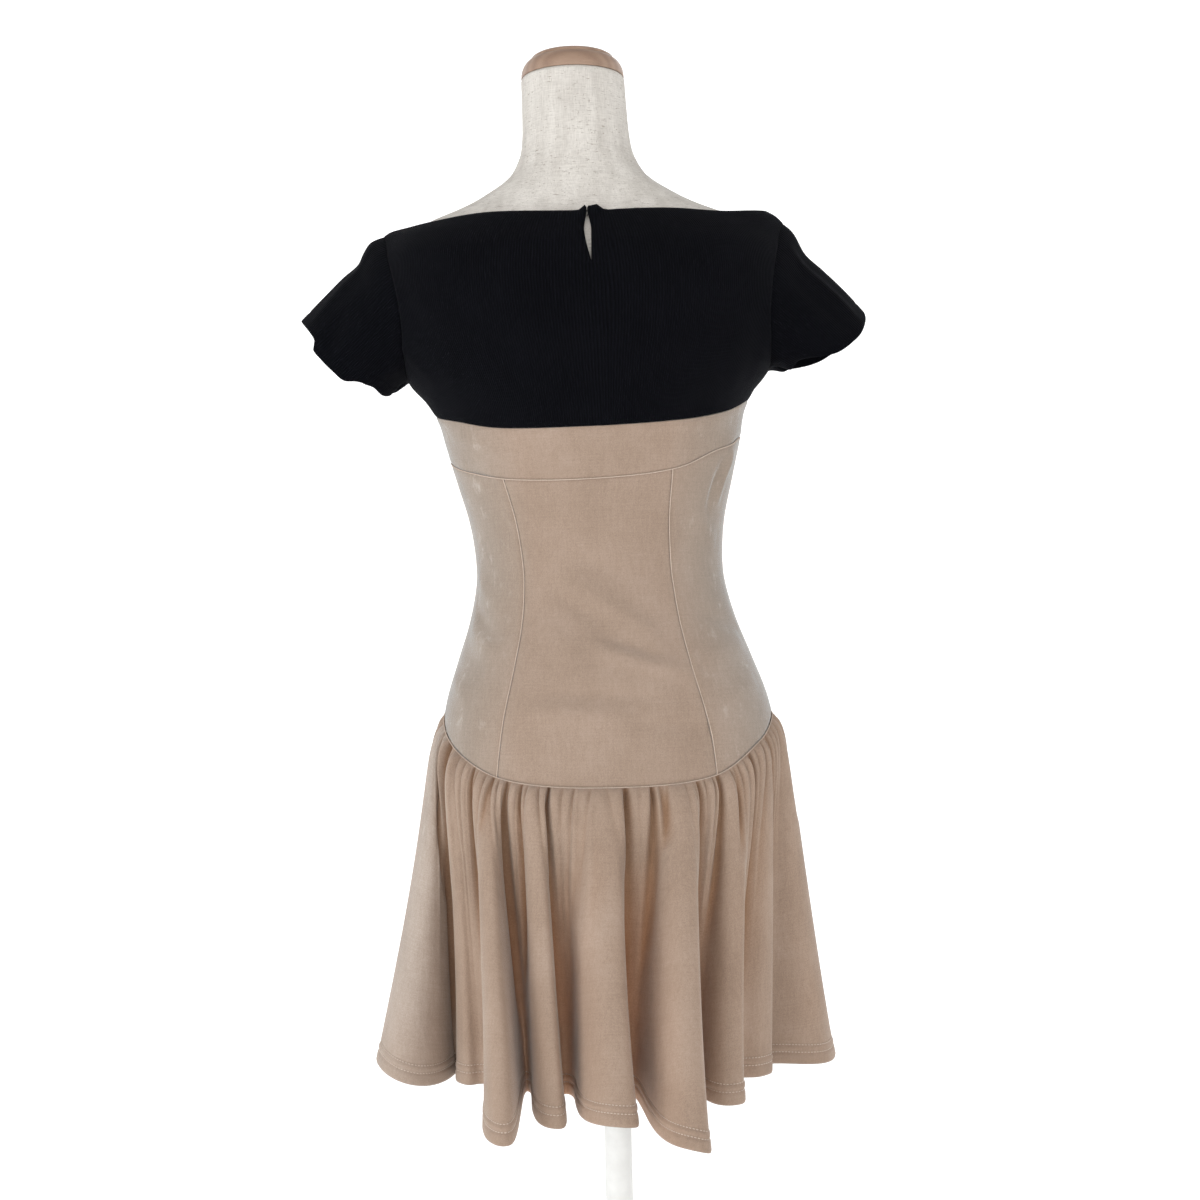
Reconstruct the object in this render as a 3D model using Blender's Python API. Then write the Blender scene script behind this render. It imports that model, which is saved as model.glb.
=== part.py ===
"""Mini dress with a rib knit yoke and a gathered velour skirt, on a limbless dress form.

Units are metres and +Z is up. The origin is the centre of the foot plate's underside.
The back of the dress faces -Y, so left is -X, seen from behind. Angles round the body are
in degrees from the centre back, positive towards +X.
"""

import math
from collections import namedtuple
from functools import lru_cache

import bmesh
import bpy
from mathutils import Vector

# Stand
BASE_RADIUS = 0.150
BASE_THICK = 0.010
BASE_CHAMFER = 0.0015
BASE_SEGMENTS = 48
POLE_RADIUS = 0.0125
POLE_SEGMENTS = 20
FLANGE_RADIUS = 0.040
FLANGE_THICK = 0.006

# Dress form
TORSO_BOTTOM = 0.400
NECK_TOP = 1.102
TORSO_COLUMNS = 32
LEAN_START = 0.500
LEAN = 0.033

# Cloth
SEAM_GAP = 0.0003
KNIT_WALL = 0.0016
VELOUR_WALL = 0.0015
SKIRT_WALL = 0.0013
HEM_HEIGHT = 0.200

# Radii at which half a seam gap is turned into an angle
CHEST_RADIUS = 0.16
ARM_RADIUS = 0.18
WAIST_RADIUS = 0.12

# Steps in degrees, metres and shares over which a surface's direction is measured
ANGLE_STEP = 0.5
HEIGHT_STEP = 0.0005
SHARE_STEP = 0.01

# Armholes and sleeves. An armhole is an oval in angle and height.
ARMHOLE_MIDDLE = 0.891
ARMHOLE_HALF = 0.062
ARMHOLE_SPREAD = 24.0
ARMHOLE_STEPS = 10
SLEEVE_STEPS = 4
SLEEVE_CROWN = 0.008
CROWN_OUT = 0.6
CROWN_UP = 0.8

# Skirt
FOLD_COLUMNS = 12
FOLD_WIDTH = 0.05
FOLD_TURN = 26.0
FOLD_GROWTH = 1.15
GATHER_RAISE = 0.0020
GATHER_FADE = 0.13
SKIRT_PUFF = 0.011
PUFF_START = 0.04
PUFF_LOSS = 0.7
SEAM_BLEND = 0.05
SKIRT_LEVELS = (0.0, 0.03, 0.09, 0.19, 0.34, 0.54, 0.77, 1.0)

Section = namedtuple("Section", "height half_width back front squareness")
TORSO = (
    Section(0.400, 0.145, 0.098, 0.094, 2.10),
    Section(0.430, 0.148, 0.102, 0.098, 2.15),
    Section(0.460, 0.1485, 0.103, 0.099, 2.15),
    Section(0.500, 0.1475, 0.102, 0.097, 2.15),
    Section(0.531, 0.1430, 0.098, 0.094, 2.10),
    Section(0.568, 0.1308, 0.090, 0.091, 2.05),
    Section(0.605, 0.1182, 0.080, 0.088, 2.00),
    Section(0.640, 0.1105, 0.0750, 0.086, 2.00),
    Section(0.665, 0.1100, 0.0735, 0.086, 2.00),
    Section(0.697, 0.1135, 0.0750, 0.089, 2.00),
    Section(0.730, 0.121, 0.080, 0.098, 2.05),
    Section(0.770, 0.130, 0.087, 0.110, 2.10),
    Section(0.797, 0.136, 0.091, 0.118, 2.15),
    Section(0.830, 0.149, 0.094, 0.121, 2.20),
    Section(0.860, 0.161, 0.096, 0.117, 2.25),
    Section(0.900, 0.171, 0.095, 0.103, 2.25),
    Section(0.935, 0.174, 0.086, 0.084, 2.15),
    Section(0.952, 0.168, 0.077, 0.071, 2.05),
    Section(0.962, 0.158, 0.071, 0.063, 2.00),
    Section(0.972, 0.139, 0.065, 0.058, 2.00),
    Section(0.982, 0.113, 0.060, 0.054, 2.00),
    Section(0.991, 0.094, 0.057, 0.052, 2.00),
    Section(1.009, 0.066, 0.053, 0.050, 2.00),
    Section(1.028, 0.0535, 0.050, 0.0485, 2.00),
    Section(1.046, 0.0495, 0.0485, 0.048, 2.00),
    Section(1.075, 0.0480, 0.0478, 0.0475, 2.00),
    Section(NECK_TOP, 0.0474, 0.0474, 0.0474, 2.00),
)

# How far the cloth's outer face stands off the torso, at the back, sides and front
Fit = namedtuple("Fit", "height back side front")
FITS = (
    Fit(0.460, 0.0048, 0.0045, 0.0048),
    Fit(0.510, 0.0044, 0.0042, 0.0044),
    Fit(0.560, 0.0037, 0.0038, 0.0038),
    Fit(0.610, 0.0029, 0.0031, 0.0031),
    Fit(0.670, 0.0027, 0.0028, 0.0028),
    Fit(0.705, 0.0030, 0.0032, 0.0033),
    Fit(0.735, 0.0034, 0.0040, 0.0038),
    Fit(0.765, 0.0042, 0.0050, 0.0045),
    Fit(0.795, 0.0046, 0.0058, 0.0048),
    Fit(0.812, 0.0050, 0.0100, 0.0050),
    Fit(0.830, 0.0050, 0.0165, 0.0055),
    Fit(0.860, 0.0050, 0.0180, 0.0060),
    Fit(0.900, 0.0046, 0.0160, 0.0055),
    Fit(0.930, 0.0040, 0.0130, 0.0048),
    Fit(0.950, 0.0034, 0.0085, 0.0040),
    Fit(0.962, 0.0029, 0.0035, 0.0030),
    Fit(0.975, 0.0025, 0.0025, 0.0026),
)

# Places where the cloth stands out further, as a soft hill
Bulge = namedtuple("Bulge", "angle height wide tall out")
BULGES = (
    Bulge(84.0, 0.968, 24.0, 0.016, 0.0105),
    Bulge(66.0, 0.752, 10.0, 0.017, 0.0050),
    Bulge(-74.0, 0.800, 12.0, 0.016, 0.0030),
)

# Heights of the cross seams and of the neckline, round the body
Seams = namedtuple("Seams", "angle neckline yoke band drop")
SEAMS = (
    Seams(-90.0, 0.9660, 0.798, 0.753, 0.522),
    Seams(-60.0, 0.9690, 0.786, 0.740, 0.489),
    Seams(-35.0, 0.9685, 0.7765, 0.7315, 0.468),
    Seams(0.0, 0.9655, 0.7750, 0.7300, 0.4615),
    Seams(35.0, 0.9685, 0.7805, 0.7385, 0.4680),
    Seams(60.0, 0.9670, 0.7900, 0.7580, 0.4940),
    Seams(90.0, 0.9600, 0.8050, 0.7700, 0.5160),
    Seams(135.0, 0.9610, 0.7900, 0.7500, 0.4870),
    Seams(180.0, 0.9550, 0.7800, 0.7350, 0.4680),
    Seams(225.0, 0.9620, 0.7900, 0.7450, 0.4890),
)

# Angles of the princess seams
Princess = namedtuple("Princess", "height back_left back_right front_right front_left")
PRINCESS_SEAMS = (
    Princess(0.450, -40.0, 37.0, 143.0, 217.0),
    Princess(0.550, -36.0, 33.5, 146.0, 214.0),
    Princess(0.640, -37.0, 34.5, 145.0, 215.0),
    Princess(0.780, -42.0, 32.0, 143.0, 217.0),
)

# Bodice panels: columns of faces, and the upright seams at their left and right
BODICE_PANELS = (
    ("bodice_back_left", 6, -90.0, "back_left"),
    ("bodice_back_centre", 8, "back_left", "back_right"),
    ("bodice_back_right", 6, "back_right", 90.0),
    ("bodice_front_right", 6, 90.0, "front_right"),
    ("bodice_front_centre", 8, "front_right", "front_left"),
    ("bodice_front_left", 6, "front_left", 270.0),
)
HALF_COLUMNS = 20
BODICE_ROWS = 10
BODICE_MIDDLE = 0.6
BAND_ROWS = 3

# Skirt folds from the left side, round the back, then round the front. The angle is where
# the fold is rooted at the hem, depth is how far it stands out there, swell is how much it
# widens, and dip is how far its ridge hangs below the hem's height.
Fold = namedtuple("Fold", "angle depth swell dip")
BACK_FOLDS = (
    Fold(-86.0, 0.072, 0.025, 0.000),
    Fold(-60.0, 0.014, 0.004, 0.000),
    Fold(-31.0, 0.126, 0.013, 0.010),
    Fold(-19.5, 0.094, 0.011, 0.004),
    Fold(-1.0, 0.106, 0.018, 0.006),
    Fold(20.0, 0.130, 0.015, 0.012),
    Fold(37.0, 0.060, 0.010, 0.002),
    Fold(62.0, 0.016, 0.005, 0.000),
    Fold(86.0, 0.070, 0.025, 0.000),
)
FRONT_FOLDS = (
    Fold(107.0, 0.030, 0.008, 0.000),
    Fold(127.0, 0.082, 0.012, 0.003),
    Fold(147.0, 0.058, 0.012, 0.002),
    Fold(168.0, 0.104, 0.013, 0.008),
    Fold(190.0, 0.086, 0.014, 0.004),
    Fold(212.0, 0.098, 0.013, 0.006),
    Fold(234.0, 0.048, 0.010, 0.001),
    Fold(256.0, 0.060, 0.012, 0.000),
)
FOLDS = BACK_FOLDS + FRONT_FOLDS
HEM_ROOT_HALF_WIDTH = 0.140
HEM_ROOT_BACK = 0.112
HEM_ROOT_FRONT = 0.106
HEM_SHIFT = -0.006

# Sleeve hems: the outer tip over the arm, the lower corner under it, in X and Z
Sleeve = namedtuple("Sleeve", "side tip_x tip_z corner_x corner_z half_depth droop")
LEFT_SLEEVE = Sleeve(-1, -0.2740, 0.8850, -0.1915, 0.8140, 0.047, 0.021)
RIGHT_SLEEVE = Sleeve(1, 0.2430, 0.8815, 0.1680, 0.8250, 0.047, 0.019)

# Keyhole slit in the back yoke, cut right through, with a notch above the hook
Slit = namedtuple("Slit", "height half_width")
KEYHOLE = (
    Slit(0.9165, 0.0012),
    Slit(0.9200, 0.0028),
    Slit(0.9300, 0.0041),
    Slit(0.9400, 0.0048),
    Slit(0.9480, 0.0046),
    Slit(0.9550, 0.0032),
    Slit(0.9600, 0.0018),
    Slit(0.9635, 0.0018),
    Slit(0.9800, 0.0120),
)
KEYHOLE_X = -0.0067
KEYHOLE_NEAR = -0.130
KEYHOLE_FAR = -0.030
HOOK_HEIGHT = 0.9617
HOOK_ANGLE = 3.0
HOOK_TALL = 0.0024
HOOK_THICK = 0.0014

# Turned cap: radius and height above the neck
CapRing = namedtuple("CapRing", "radius rise")
CAP_PROFILE = (
    CapRing(0.0472, 0.0003),
    CapRing(0.0468, 0.0050),
    CapRing(0.0445, 0.0110),
    CapRing(0.0405, 0.0155),
    CapRing(0.0385, 0.0163),
    CapRing(0.0376, 0.0190),
    CapRing(0.0310, 0.0222),
    CapRing(0.0180, 0.0242),
    CapRing(0.0000, 0.0248),
)
CAP_SEGMENTS = 40

KNIT_BLACK = (0.006, 0.006, 0.009)
VELOUR_TAUPE = (0.42, 0.31, 0.235)
LINEN = (0.68, 0.64, 0.58)
WOOD = (0.50, 0.30, 0.19)
PAINT_WHITE = (0.80, 0.80, 0.78)
HOOK_BLACK = (0.02, 0.02, 0.02)


def clear_scene():
    for old in list(bpy.data.objects):
        bpy.data.objects.remove(old, do_unlink=True)


def finish(name, colour, roughness, metallic=0.0):
    material = bpy.data.materials.new(name)
    material.use_nodes = True
    shader = material.node_tree.nodes["Principled BSDF"]
    shader.inputs["Base Color"].default_value = (*colour, 1.0)
    shader.inputs["Roughness"].default_value = roughness
    shader.inputs["Metallic"].default_value = metallic
    return material


def solid(name, shape, material, sharp_degrees=40.0):
    """Object from a bmesh, with its faces turned outwards and its round parts shaded smooth."""
    bmesh.ops.recalc_face_normals(shape, faces=shape.faces)
    mesh = bpy.data.meshes.new(name)
    shape.to_mesh(mesh)
    shape.free()
    mesh.shade_smooth()
    mesh.set_sharp_from_angle(angle=math.radians(sharp_degrees))
    mesh.materials.append(material)
    piece = bpy.data.objects.new(name, mesh)
    bpy.context.scene.collection.objects.link(piece)
    return piece


def smooth_value(rows, key, column, at):
    """Value of a column where the key column has the value at, on a smooth curve through the rows."""
    keys = [getattr(row, key) for row in rows]
    values = [getattr(row, column) for row in rows]
    at = min(max(at, keys[0]), keys[-1])
    index = 0
    while index < len(keys) - 2 and at > keys[index + 1]:
        index += 1
    slopes = []
    for end in (index, index + 1):
        before = max(end - 1, 0)
        after = min(end + 1, len(keys) - 1)
        slopes.append((values[after] - values[before]) / (keys[after] - keys[before]))
    span = keys[index + 1] - keys[index]
    part = (at - keys[index]) / span
    rise = part * part * (3.0 - 2.0 * part)
    leave = part * (1.0 - part) ** 2 * span * slopes[0]
    arrive = part * part * (part - 1.0) * span * slopes[1]
    return values[index] + (values[index + 1] - values[index]) * rise + leave + arrive


def seam_height(column, angle):
    """Height of a cross seam at any angle round the body."""
    wrapped = (angle + 90.0) % 360.0 - 90.0
    last = SEAMS[0]._replace(angle=270.0)
    return smooth_value(SEAMS + (last,), "angle", column, wrapped)


def torso_point(angle, height):
    across = math.sin(math.radians(angle))
    away = -math.cos(math.radians(angle))
    power = 2.0 / smooth_value(TORSO, "height", "squareness", height)
    depth = smooth_value(TORSO, "height", "back" if away < 0.0 else "front", height)
    half_width = smooth_value(TORSO, "height", "half_width", height)
    x = half_width * math.copysign(abs(across) ** power, across)
    y = depth * math.copysign(abs(away) ** power, away)
    lean = LEAN * max(0.0, height - LEAN_START)
    return Vector((x - lean, y, height))


def gap_turn(radius):
    """Angle of half a seam gap at a radius."""
    return math.degrees(SEAM_GAP / 2.0 / radius)


def outward(point_at, first, second, first_step, second_step):
    """Unit normal of a surface whose first parameter runs to the right and second runs up."""
    right = point_at(first + first_step, second) - point_at(first - first_step, second)
    up = point_at(first, second + second_step) - point_at(first, second - second_step)
    return right.cross(up).normalized()


def stand_off(angle, height):
    """Distance of the cloth's outer face from the torso."""
    side = math.sin(math.radians(angle)) ** 4
    middle = "back" if math.cos(math.radians(angle)) > 0.0 else "front"
    distance = smooth_value(FITS, "height", middle, height) * (1.0 - side)
    distance += smooth_value(FITS, "height", "side", height) * side
    for bulge in BULGES:
        turn = ((angle - bulge.angle + 180.0) % 360.0 - 180.0) / bulge.wide
        rise = (height - bulge.height) / bulge.tall
        distance += bulge.out * math.exp(-turn * turn - rise * rise)
    return distance


def cloth_point(angle, height, depth=0.0):
    """Point on the dress body, at a depth under its outer face."""
    normal = outward(torso_point, angle, height, ANGLE_STEP, HEIGHT_STEP)
    return torso_point(angle, height) + normal * (stand_off(angle, height) - depth)


def wall_from_grid(columns, rows, point_at):
    """Closed wall of cloth. point_at takes a column, a row and whether the point is inside."""
    shape = bmesh.new()
    bmesh.ops.create_grid(shape, x_segments=columns, y_segments=rows, size=0.5)
    return thicken(shape, lambda co: (round((co.x + 0.5) * columns), round((co.y + 0.5) * rows)), point_at)


def wall_from_tube(columns, rows, point_at):
    """Closed wall of a tube. Its columns run round, and its rows run along."""
    shape = bmesh.new()
    ring = bmesh.ops.create_circle(shape, segments=columns, radius=1.0)["verts"]
    edges = list({edge for vertex in ring for edge in vertex.link_edges})
    for row in range(rows):
        grown = bmesh.ops.extrude_edge_only(shape, edges=edges)["geom"]
        edges = [item for item in grown if isinstance(item, bmesh.types.BMEdge)]
        for item in grown:
            if isinstance(item, bmesh.types.BMVert):
                item.co.z = row + 1.0

    def place_of(co):
        turn = math.atan2(co.y, co.x) / math.tau
        return round(turn * columns) % columns, round(co.z)

    return thicken(shape, place_of, point_at)


def thicken(shape, place_of, point_at):
    """Extrudes a flat guide sheet to a second skin, then puts both skins in place."""
    skin = bmesh.ops.extrude_face_region(shape, geom=shape.faces[:])["geom"]
    outer = {item for item in skin if isinstance(item, bmesh.types.BMVert)}
    for vertex in shape.verts:
        column, row = place_of(vertex.co)
        vertex.co = point_at(column, row, vertex not in outer)
    return shape


def armhole_turn(height):
    """Turn round the armhole's oval at a height: 0 at the shoulder, 180 under the arm."""
    part = min(max((height - ARMHOLE_MIDDLE) / ARMHOLE_HALF, -1.0), 1.0)
    return math.degrees(math.acos(part))


def yoke_levels(angle):
    """Heights of the yoke's rows at an angle, from its lower seam to the neckline."""
    underarm = ARMHOLE_MIDDLE - ARMHOLE_HALF
    shoulder = ARMHOLE_MIDDLE + ARMHOLE_HALF
    low = seam_height("yoke", angle) + SEAM_GAP
    high = seam_height("neckline", angle)
    levels = [low, (low + underarm) / 2.0]
    for step in range(ARMHOLE_STEPS + 1):
        turn = math.pi * (1.0 - step / ARMHOLE_STEPS)
        levels.append(ARMHOLE_MIDDLE + ARMHOLE_HALF * math.cos(turn))
    levels.append((shoulder + high) / 2.0)
    levels.append(high)
    return levels


def yoke(name, middle, material):
    """Half of the yoke, centred on an angle of 0 or 180, with its armhole edges cut in."""
    columns = HALF_COLUMNS
    rows = len(yoke_levels(0.0)) - 1

    def point_at(column, row, inside):
        share = 2.0 * column / columns - 1.0
        edge_height = yoke_levels(middle + 90.0)[row]
        opening = ARMHOLE_SPREAD * math.sin(math.radians(armhole_turn(edge_height)))
        half = 90.0 - opening - gap_turn(CHEST_RADIUS)
        angle = middle + share * half
        return cloth_point(angle, yoke_levels(angle)[row], KNIT_WALL if inside else 0.0)

    return solid(name, wall_from_grid(columns, rows, point_at), material)


def cut_keyhole(back_yoke):
    shape = bmesh.new()
    right = [(KEYHOLE_X + row.half_width, row.height) for row in KEYHOLE]
    left = [(KEYHOLE_X - row.half_width, row.height) for row in reversed(KEYHOLE)]
    corners = [shape.verts.new((x, KEYHOLE_NEAR, z)) for x, z in right + left]
    face = shape.faces.new(corners)
    grown = bmesh.ops.extrude_face_region(shape, geom=[face])["geom"]
    moved = [item for item in grown if isinstance(item, bmesh.types.BMVert)]
    bmesh.ops.translate(shape, verts=moved, vec=(0.0, KEYHOLE_FAR - KEYHOLE_NEAR, 0.0))
    cutter = solid("keyhole_cutter", shape, finish("cutter", PAINT_WHITE, 0.5))
    cutter.hide_render = True
    cutter.display_type = "WIRE"
    cut = back_yoke.modifiers.new("Keyhole", "BOOLEAN")
    cut.operation = "DIFFERENCE"
    cut.solver = "EXACT"
    cut.object = cutter


def neck_hook(material):
    """Hook that closes the neckline above the keyhole, between the slit's two edges."""
    slit = smooth_value(KEYHOLE, "height", "half_width", HOOK_HEIGHT)
    wide = 2.0 * (slit - SEAM_GAP)
    seat = cloth_point(HOOK_ANGLE, HOOK_HEIGHT, KNIT_WALL / 2.0)
    shape = bmesh.new()
    bmesh.ops.create_cube(shape, size=1.0)
    bmesh.ops.scale(shape, verts=shape.verts, vec=(wide, HOOK_THICK, HOOK_TALL))
    bmesh.ops.translate(shape, verts=shape.verts, vec=(KEYHOLE_X, seat.y, HOOK_HEIGHT))
    return solid("neck_hook", shape, material)


def body_panel(name, columns, rows, low, high, turn_at, material):
    """Panel between two cross seams. turn_at gives a column's angle from its share, rise and height."""
    half_gap = SEAM_GAP / 2.0

    def point_at(column, row, inside):
        share = column / columns
        rise = row / rows
        guess = BODICE_MIDDLE
        for _ in range(4):
            angle = turn_at(share, rise, guess)
            guess = low(angle) * (1.0 - rise) + high(angle) * rise
        inset = gap_turn(WAIST_RADIUS) * (1.0 - 2.0 * share)
        height = (low(angle) + half_gap) * (1.0 - rise) + (high(angle) - half_gap) * rise
        return cloth_point(angle + inset, height, VELOUR_WALL if inside else 0.0)

    return solid(name, wall_from_grid(columns, rows, point_at), material)


def seam_line(column):
    return lambda angle: seam_height(column, angle)


def upright_line(column):
    """Angle of a side seam, given as a number, or of a princess seam, given by its column."""
    if isinstance(column, float):
        return lambda height: column
    return lambda height: smooth_value(PRINCESS_SEAMS, "height", column, height)


def bodice(material):
    """Six panels of the fitted bodice, between the band and the dropped waist seam."""
    for name, columns, left, right in BODICE_PANELS:
        first = upright_line(left)
        last = upright_line(right)

        def turn_at(share, rise, height):
            return first(height) * (1.0 - share) + last(height) * share

        body_panel(name, columns, BODICE_ROWS, seam_line("drop"), seam_line("band"), turn_at, material)


@lru_cache
def column_turns(first_panel, last_panel, cross):
    """Angles at which the columns of neighbouring bodice panels meet a cross seam."""
    turns = []
    for _, columns, left, right in BODICE_PANELS[first_panel:last_panel]:
        for column in range(columns):
            share = column / columns
            height = seam_height(cross, 0.0)
            for _ in range(5):
                angle = upright_line(left)(height) * (1.0 - share) + upright_line(right)(height) * share
                height = seam_height(cross, angle)
            turns.append(angle)
    return turns + [BODICE_PANELS[last_panel - 1][3]]


def bands(material):
    """Front and back band. Their columns meet the bodice's below and the yoke's above."""
    for name, start, first_panel in (("band_back", -90.0, 0), ("band_front", 90.0, 3)):
        turns = column_turns(first_panel, first_panel + 3, "band")

        def turn_at(share, rise, height):
            below = turns[round(share * HALF_COLUMNS)]
            return below * (1.0 - rise) + (start + 180.0 * share) * rise

        body_panel(name, HALF_COLUMNS, BAND_ROWS, seam_line("band"), seam_line("yoke"), turn_at, material)


@lru_cache
def waist_corners():
    """Corners of the bodice's lower edge, all the way round, with their angles."""
    turns = column_turns(0, len(BODICE_PANELS), "drop")
    return [(turn, cloth_point(turn, seam_height("drop", turn) - SEAM_GAP / 2.0)) for turn in turns]


def waist_point(angle):
    """Point just under the bodice's lower edge, on the straight run between two of its corners."""
    corners = waist_corners()
    wrapped = (angle + 90.0) % 360.0 - 90.0
    for (low_turn, low_corner), (high_turn, high_corner) in zip(corners, corners[1:]):
        if wrapped <= high_turn:
            break
    return low_corner.lerp(high_corner, (wrapped - low_turn) / (high_turn - low_turn))


def armhole_point(side, turn, inset):
    """Point on the sleeve's side of the armhole seam."""
    height = ARMHOLE_MIDDLE + (ARMHOLE_HALF - inset) * math.cos(turn)
    spread = ARMHOLE_SPREAD - math.degrees(inset / ARM_RADIUS)
    return cloth_point(side * (90.0 - spread * math.sin(turn)), height)


def sleeve_hem_point(cut, turn):
    tip = Vector((cut.tip_x, 0.0, cut.tip_z))
    corner = Vector((cut.corner_x, 0.0, cut.corner_z))
    chord = tip - corner
    below = Vector((-cut.side * chord.z, 0.0, cut.side * chord.x)).normalized()
    if below.z > 0.0:
        below.negate()
    point = (tip + corner) / 2.0 + chord / 2.0 * math.cos(turn)
    point += Vector((0.0, -cut.half_depth * math.sin(turn), 0.0))
    return point + below * cut.droop * math.sin(turn) ** 2


def sleeve(name, cut, material):
    """Short sleeve lofted from the armhole to its hem."""
    columns = 2 * ARMHOLE_STEPS
    crown_way = Vector((cut.side * CROWN_OUT, 0.0, CROWN_UP))

    def surface(turn, reach):
        start = armhole_point(cut.side, turn, SEAM_GAP)
        end = sleeve_hem_point(cut, turn)
        crown = SLEEVE_CROWN * math.sin(math.pi * reach) * (0.5 + 0.5 * math.cos(turn))
        return start.lerp(end, reach) + crown_way * crown

    def point_at(column, row, inside):
        turn = math.tau * column / columns
        reach = row / SLEEVE_STEPS
        normal = outward(surface, turn, reach, SHARE_STEP, SHARE_STEP) * cut.side
        return surface(turn, reach) - normal * (KNIT_WALL if inside else 0.0)

    return solid(name, wall_from_tube(columns, SLEEVE_STEPS, point_at), material)


def fold_angles(index, fall):
    """Angles of a fold's left edge, ridge and right edge, at a share of the fall to the hem."""
    count = len(FOLDS)
    back = len(BACK_FOLDS)
    front = len(FRONT_FOLDS)

    def top_edge(place):
        if place <= back:
            return -90.0 + 180.0 * place / back
        return 90.0 + 180.0 * (place - back) / front

    def hem_ridge(place):
        return FOLDS[place % count].angle + 360.0 * (place // count)

    top = (top_edge(index), (top_edge(index) + top_edge(index + 1)) / 2.0, top_edge(index + 1))
    ridge = hem_ridge(index)
    hem = ((hem_ridge(index - 1) + ridge) / 2.0, ridge, (ridge + hem_ridge(index + 1)) / 2.0)
    drift = fall * fall * (3.0 - 2.0 * fall)
    return [high + (low - high) * drift for high, low in zip(top, hem)]


def skirt_surface(course, fall):
    """Point on the skirt. course counts folds from the left side, and fall is 0 at the seam."""
    index = math.floor(course) % len(FOLDS)
    fold = FOLDS[index]
    phase = (course - math.floor(course) - 0.5) * math.tau
    before, ridge, after = fold_angles(index, min(max(fall, 0.0), 1.0))
    width = (ridge - before) if phase < 0.0 else (after - ridge)
    angle = ridge + width * phase / math.pi
    turn = math.radians(angle)
    seam = waist_point(angle)
    depth = HEM_ROOT_BACK if math.cos(turn) > 0.0 else HEM_ROOT_FRONT
    root = Vector((HEM_ROOT_HALF_WIDTH * math.sin(turn) + HEM_SHIFT, -depth * math.cos(turn), HEM_HEIGHT))
    point = seam.lerp(root, fall)
    puff = SKIRT_PUFF * (1.0 - math.exp(-max(fall, 0.0) / PUFF_START)) * (1.0 - PUFF_LOSS * fall)
    point += Vector((math.sin(turn), -math.cos(turn), 0.0)) * puff
    heading = math.radians(ridge - FOLD_TURN * math.sin(2.0 * math.radians(ridge)))
    ahead = Vector((math.sin(heading), -math.cos(heading), 0.0))
    beside = Vector((math.cos(heading), math.sin(heading), 0.0))
    growth = max(fall, 0.0) ** FOLD_GROWTH
    crest = 0.5 + 0.5 * math.cos(phase)
    point += ahead * fold.depth * growth * crest
    point += beside * fold.swell * growth * crest * math.sin(phase)
    point.z -= fold.dip * growth * crest
    return point


def skirt(name, first_fold, folds, material):
    """Half of the skirt. Its small gathers are raised on the outer face alone."""
    columns = folds * FOLD_COLUMNS
    rows = len(SKIRT_LEVELS) - 1
    half_gap = SEAM_GAP / 2.0 / FOLD_WIDTH

    def point_at(column, row, inside):
        fall = SKIRT_LEVELS[rows - row]
        course = first_fold + column / FOLD_COLUMNS
        course += half_gap * (1.0 - 2.0 * column / columns)
        normal = outward(lambda a, b: skirt_surface(a, -b), course, -fall, SHARE_STEP, SHARE_STEP)
        normal.z *= min(1.0, fall / SEAM_BLEND)
        normal.normalize()
        if inside:
            return skirt_surface(course, fall) - normal * SKIRT_WALL
        gather = GATHER_RAISE * math.exp(-fall / GATHER_FADE) * (column % 2)
        return skirt_surface(course, fall) + normal * gather

    return solid(name, wall_from_grid(columns, rows, point_at), material)


def torso(material):
    """Smooth closed torso, shoulders and neck."""
    heights = [row.height for row in TORSO]
    shape = bmesh.new()
    ring = bmesh.ops.create_circle(shape, segments=TORSO_COLUMNS, radius=1.0)["verts"]
    edges = list({edge for vertex in ring for edge in vertex.link_edges})
    bottom = edges
    for row in range(1, len(heights)):
        grown = bmesh.ops.extrude_edge_only(shape, edges=edges)["geom"]
        edges = [item for item in grown if isinstance(item, bmesh.types.BMEdge)]
        for item in grown:
            if isinstance(item, bmesh.types.BMVert):
                item.co.z = row
    bmesh.ops.edgeloop_fill(shape, edges=bottom + edges)
    for vertex in shape.verts:
        angle = math.degrees(math.atan2(vertex.co.y, vertex.co.x))
        vertex.co = torso_point(angle, heights[round(vertex.co.z)])
    return solid("form_torso", shape, material)


def turned(name, profile, segments, centre, material):
    """Solid turned about an upright axis. The profile runs from its lower edge to the top."""
    shape = bmesh.new()
    points = [shape.verts.new((radius, 0.0, height)) for radius, height in profile]
    edges = [shape.edges.new(pair) for pair in zip(points, points[1:])]
    bmesh.ops.spin(
        shape,
        geom=points + edges,
        cent=(0.0, 0.0, 0.0),
        axis=(0.0, 0.0, 1.0),
        angle=math.tau,
        steps=segments,
        use_merge=True,
    )
    bmesh.ops.remove_doubles(shape, verts=shape.verts, dist=1e-6)
    rims = [edge for edge in shape.edges if edge.is_boundary]
    if rims:
        bmesh.ops.edgeloop_fill(shape, edges=rims)
    bmesh.ops.translate(shape, verts=shape.verts, vec=centre)
    return solid(name, shape, material)


def cap(material):
    lean = LEAN * (NECK_TOP - LEAN_START)
    profile = [(ring.radius, ring.rise) for ring in CAP_PROFILE]
    turned("form_cap", profile, CAP_SEGMENTS, (-lean, 0.0, NECK_TOP), material)


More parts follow.
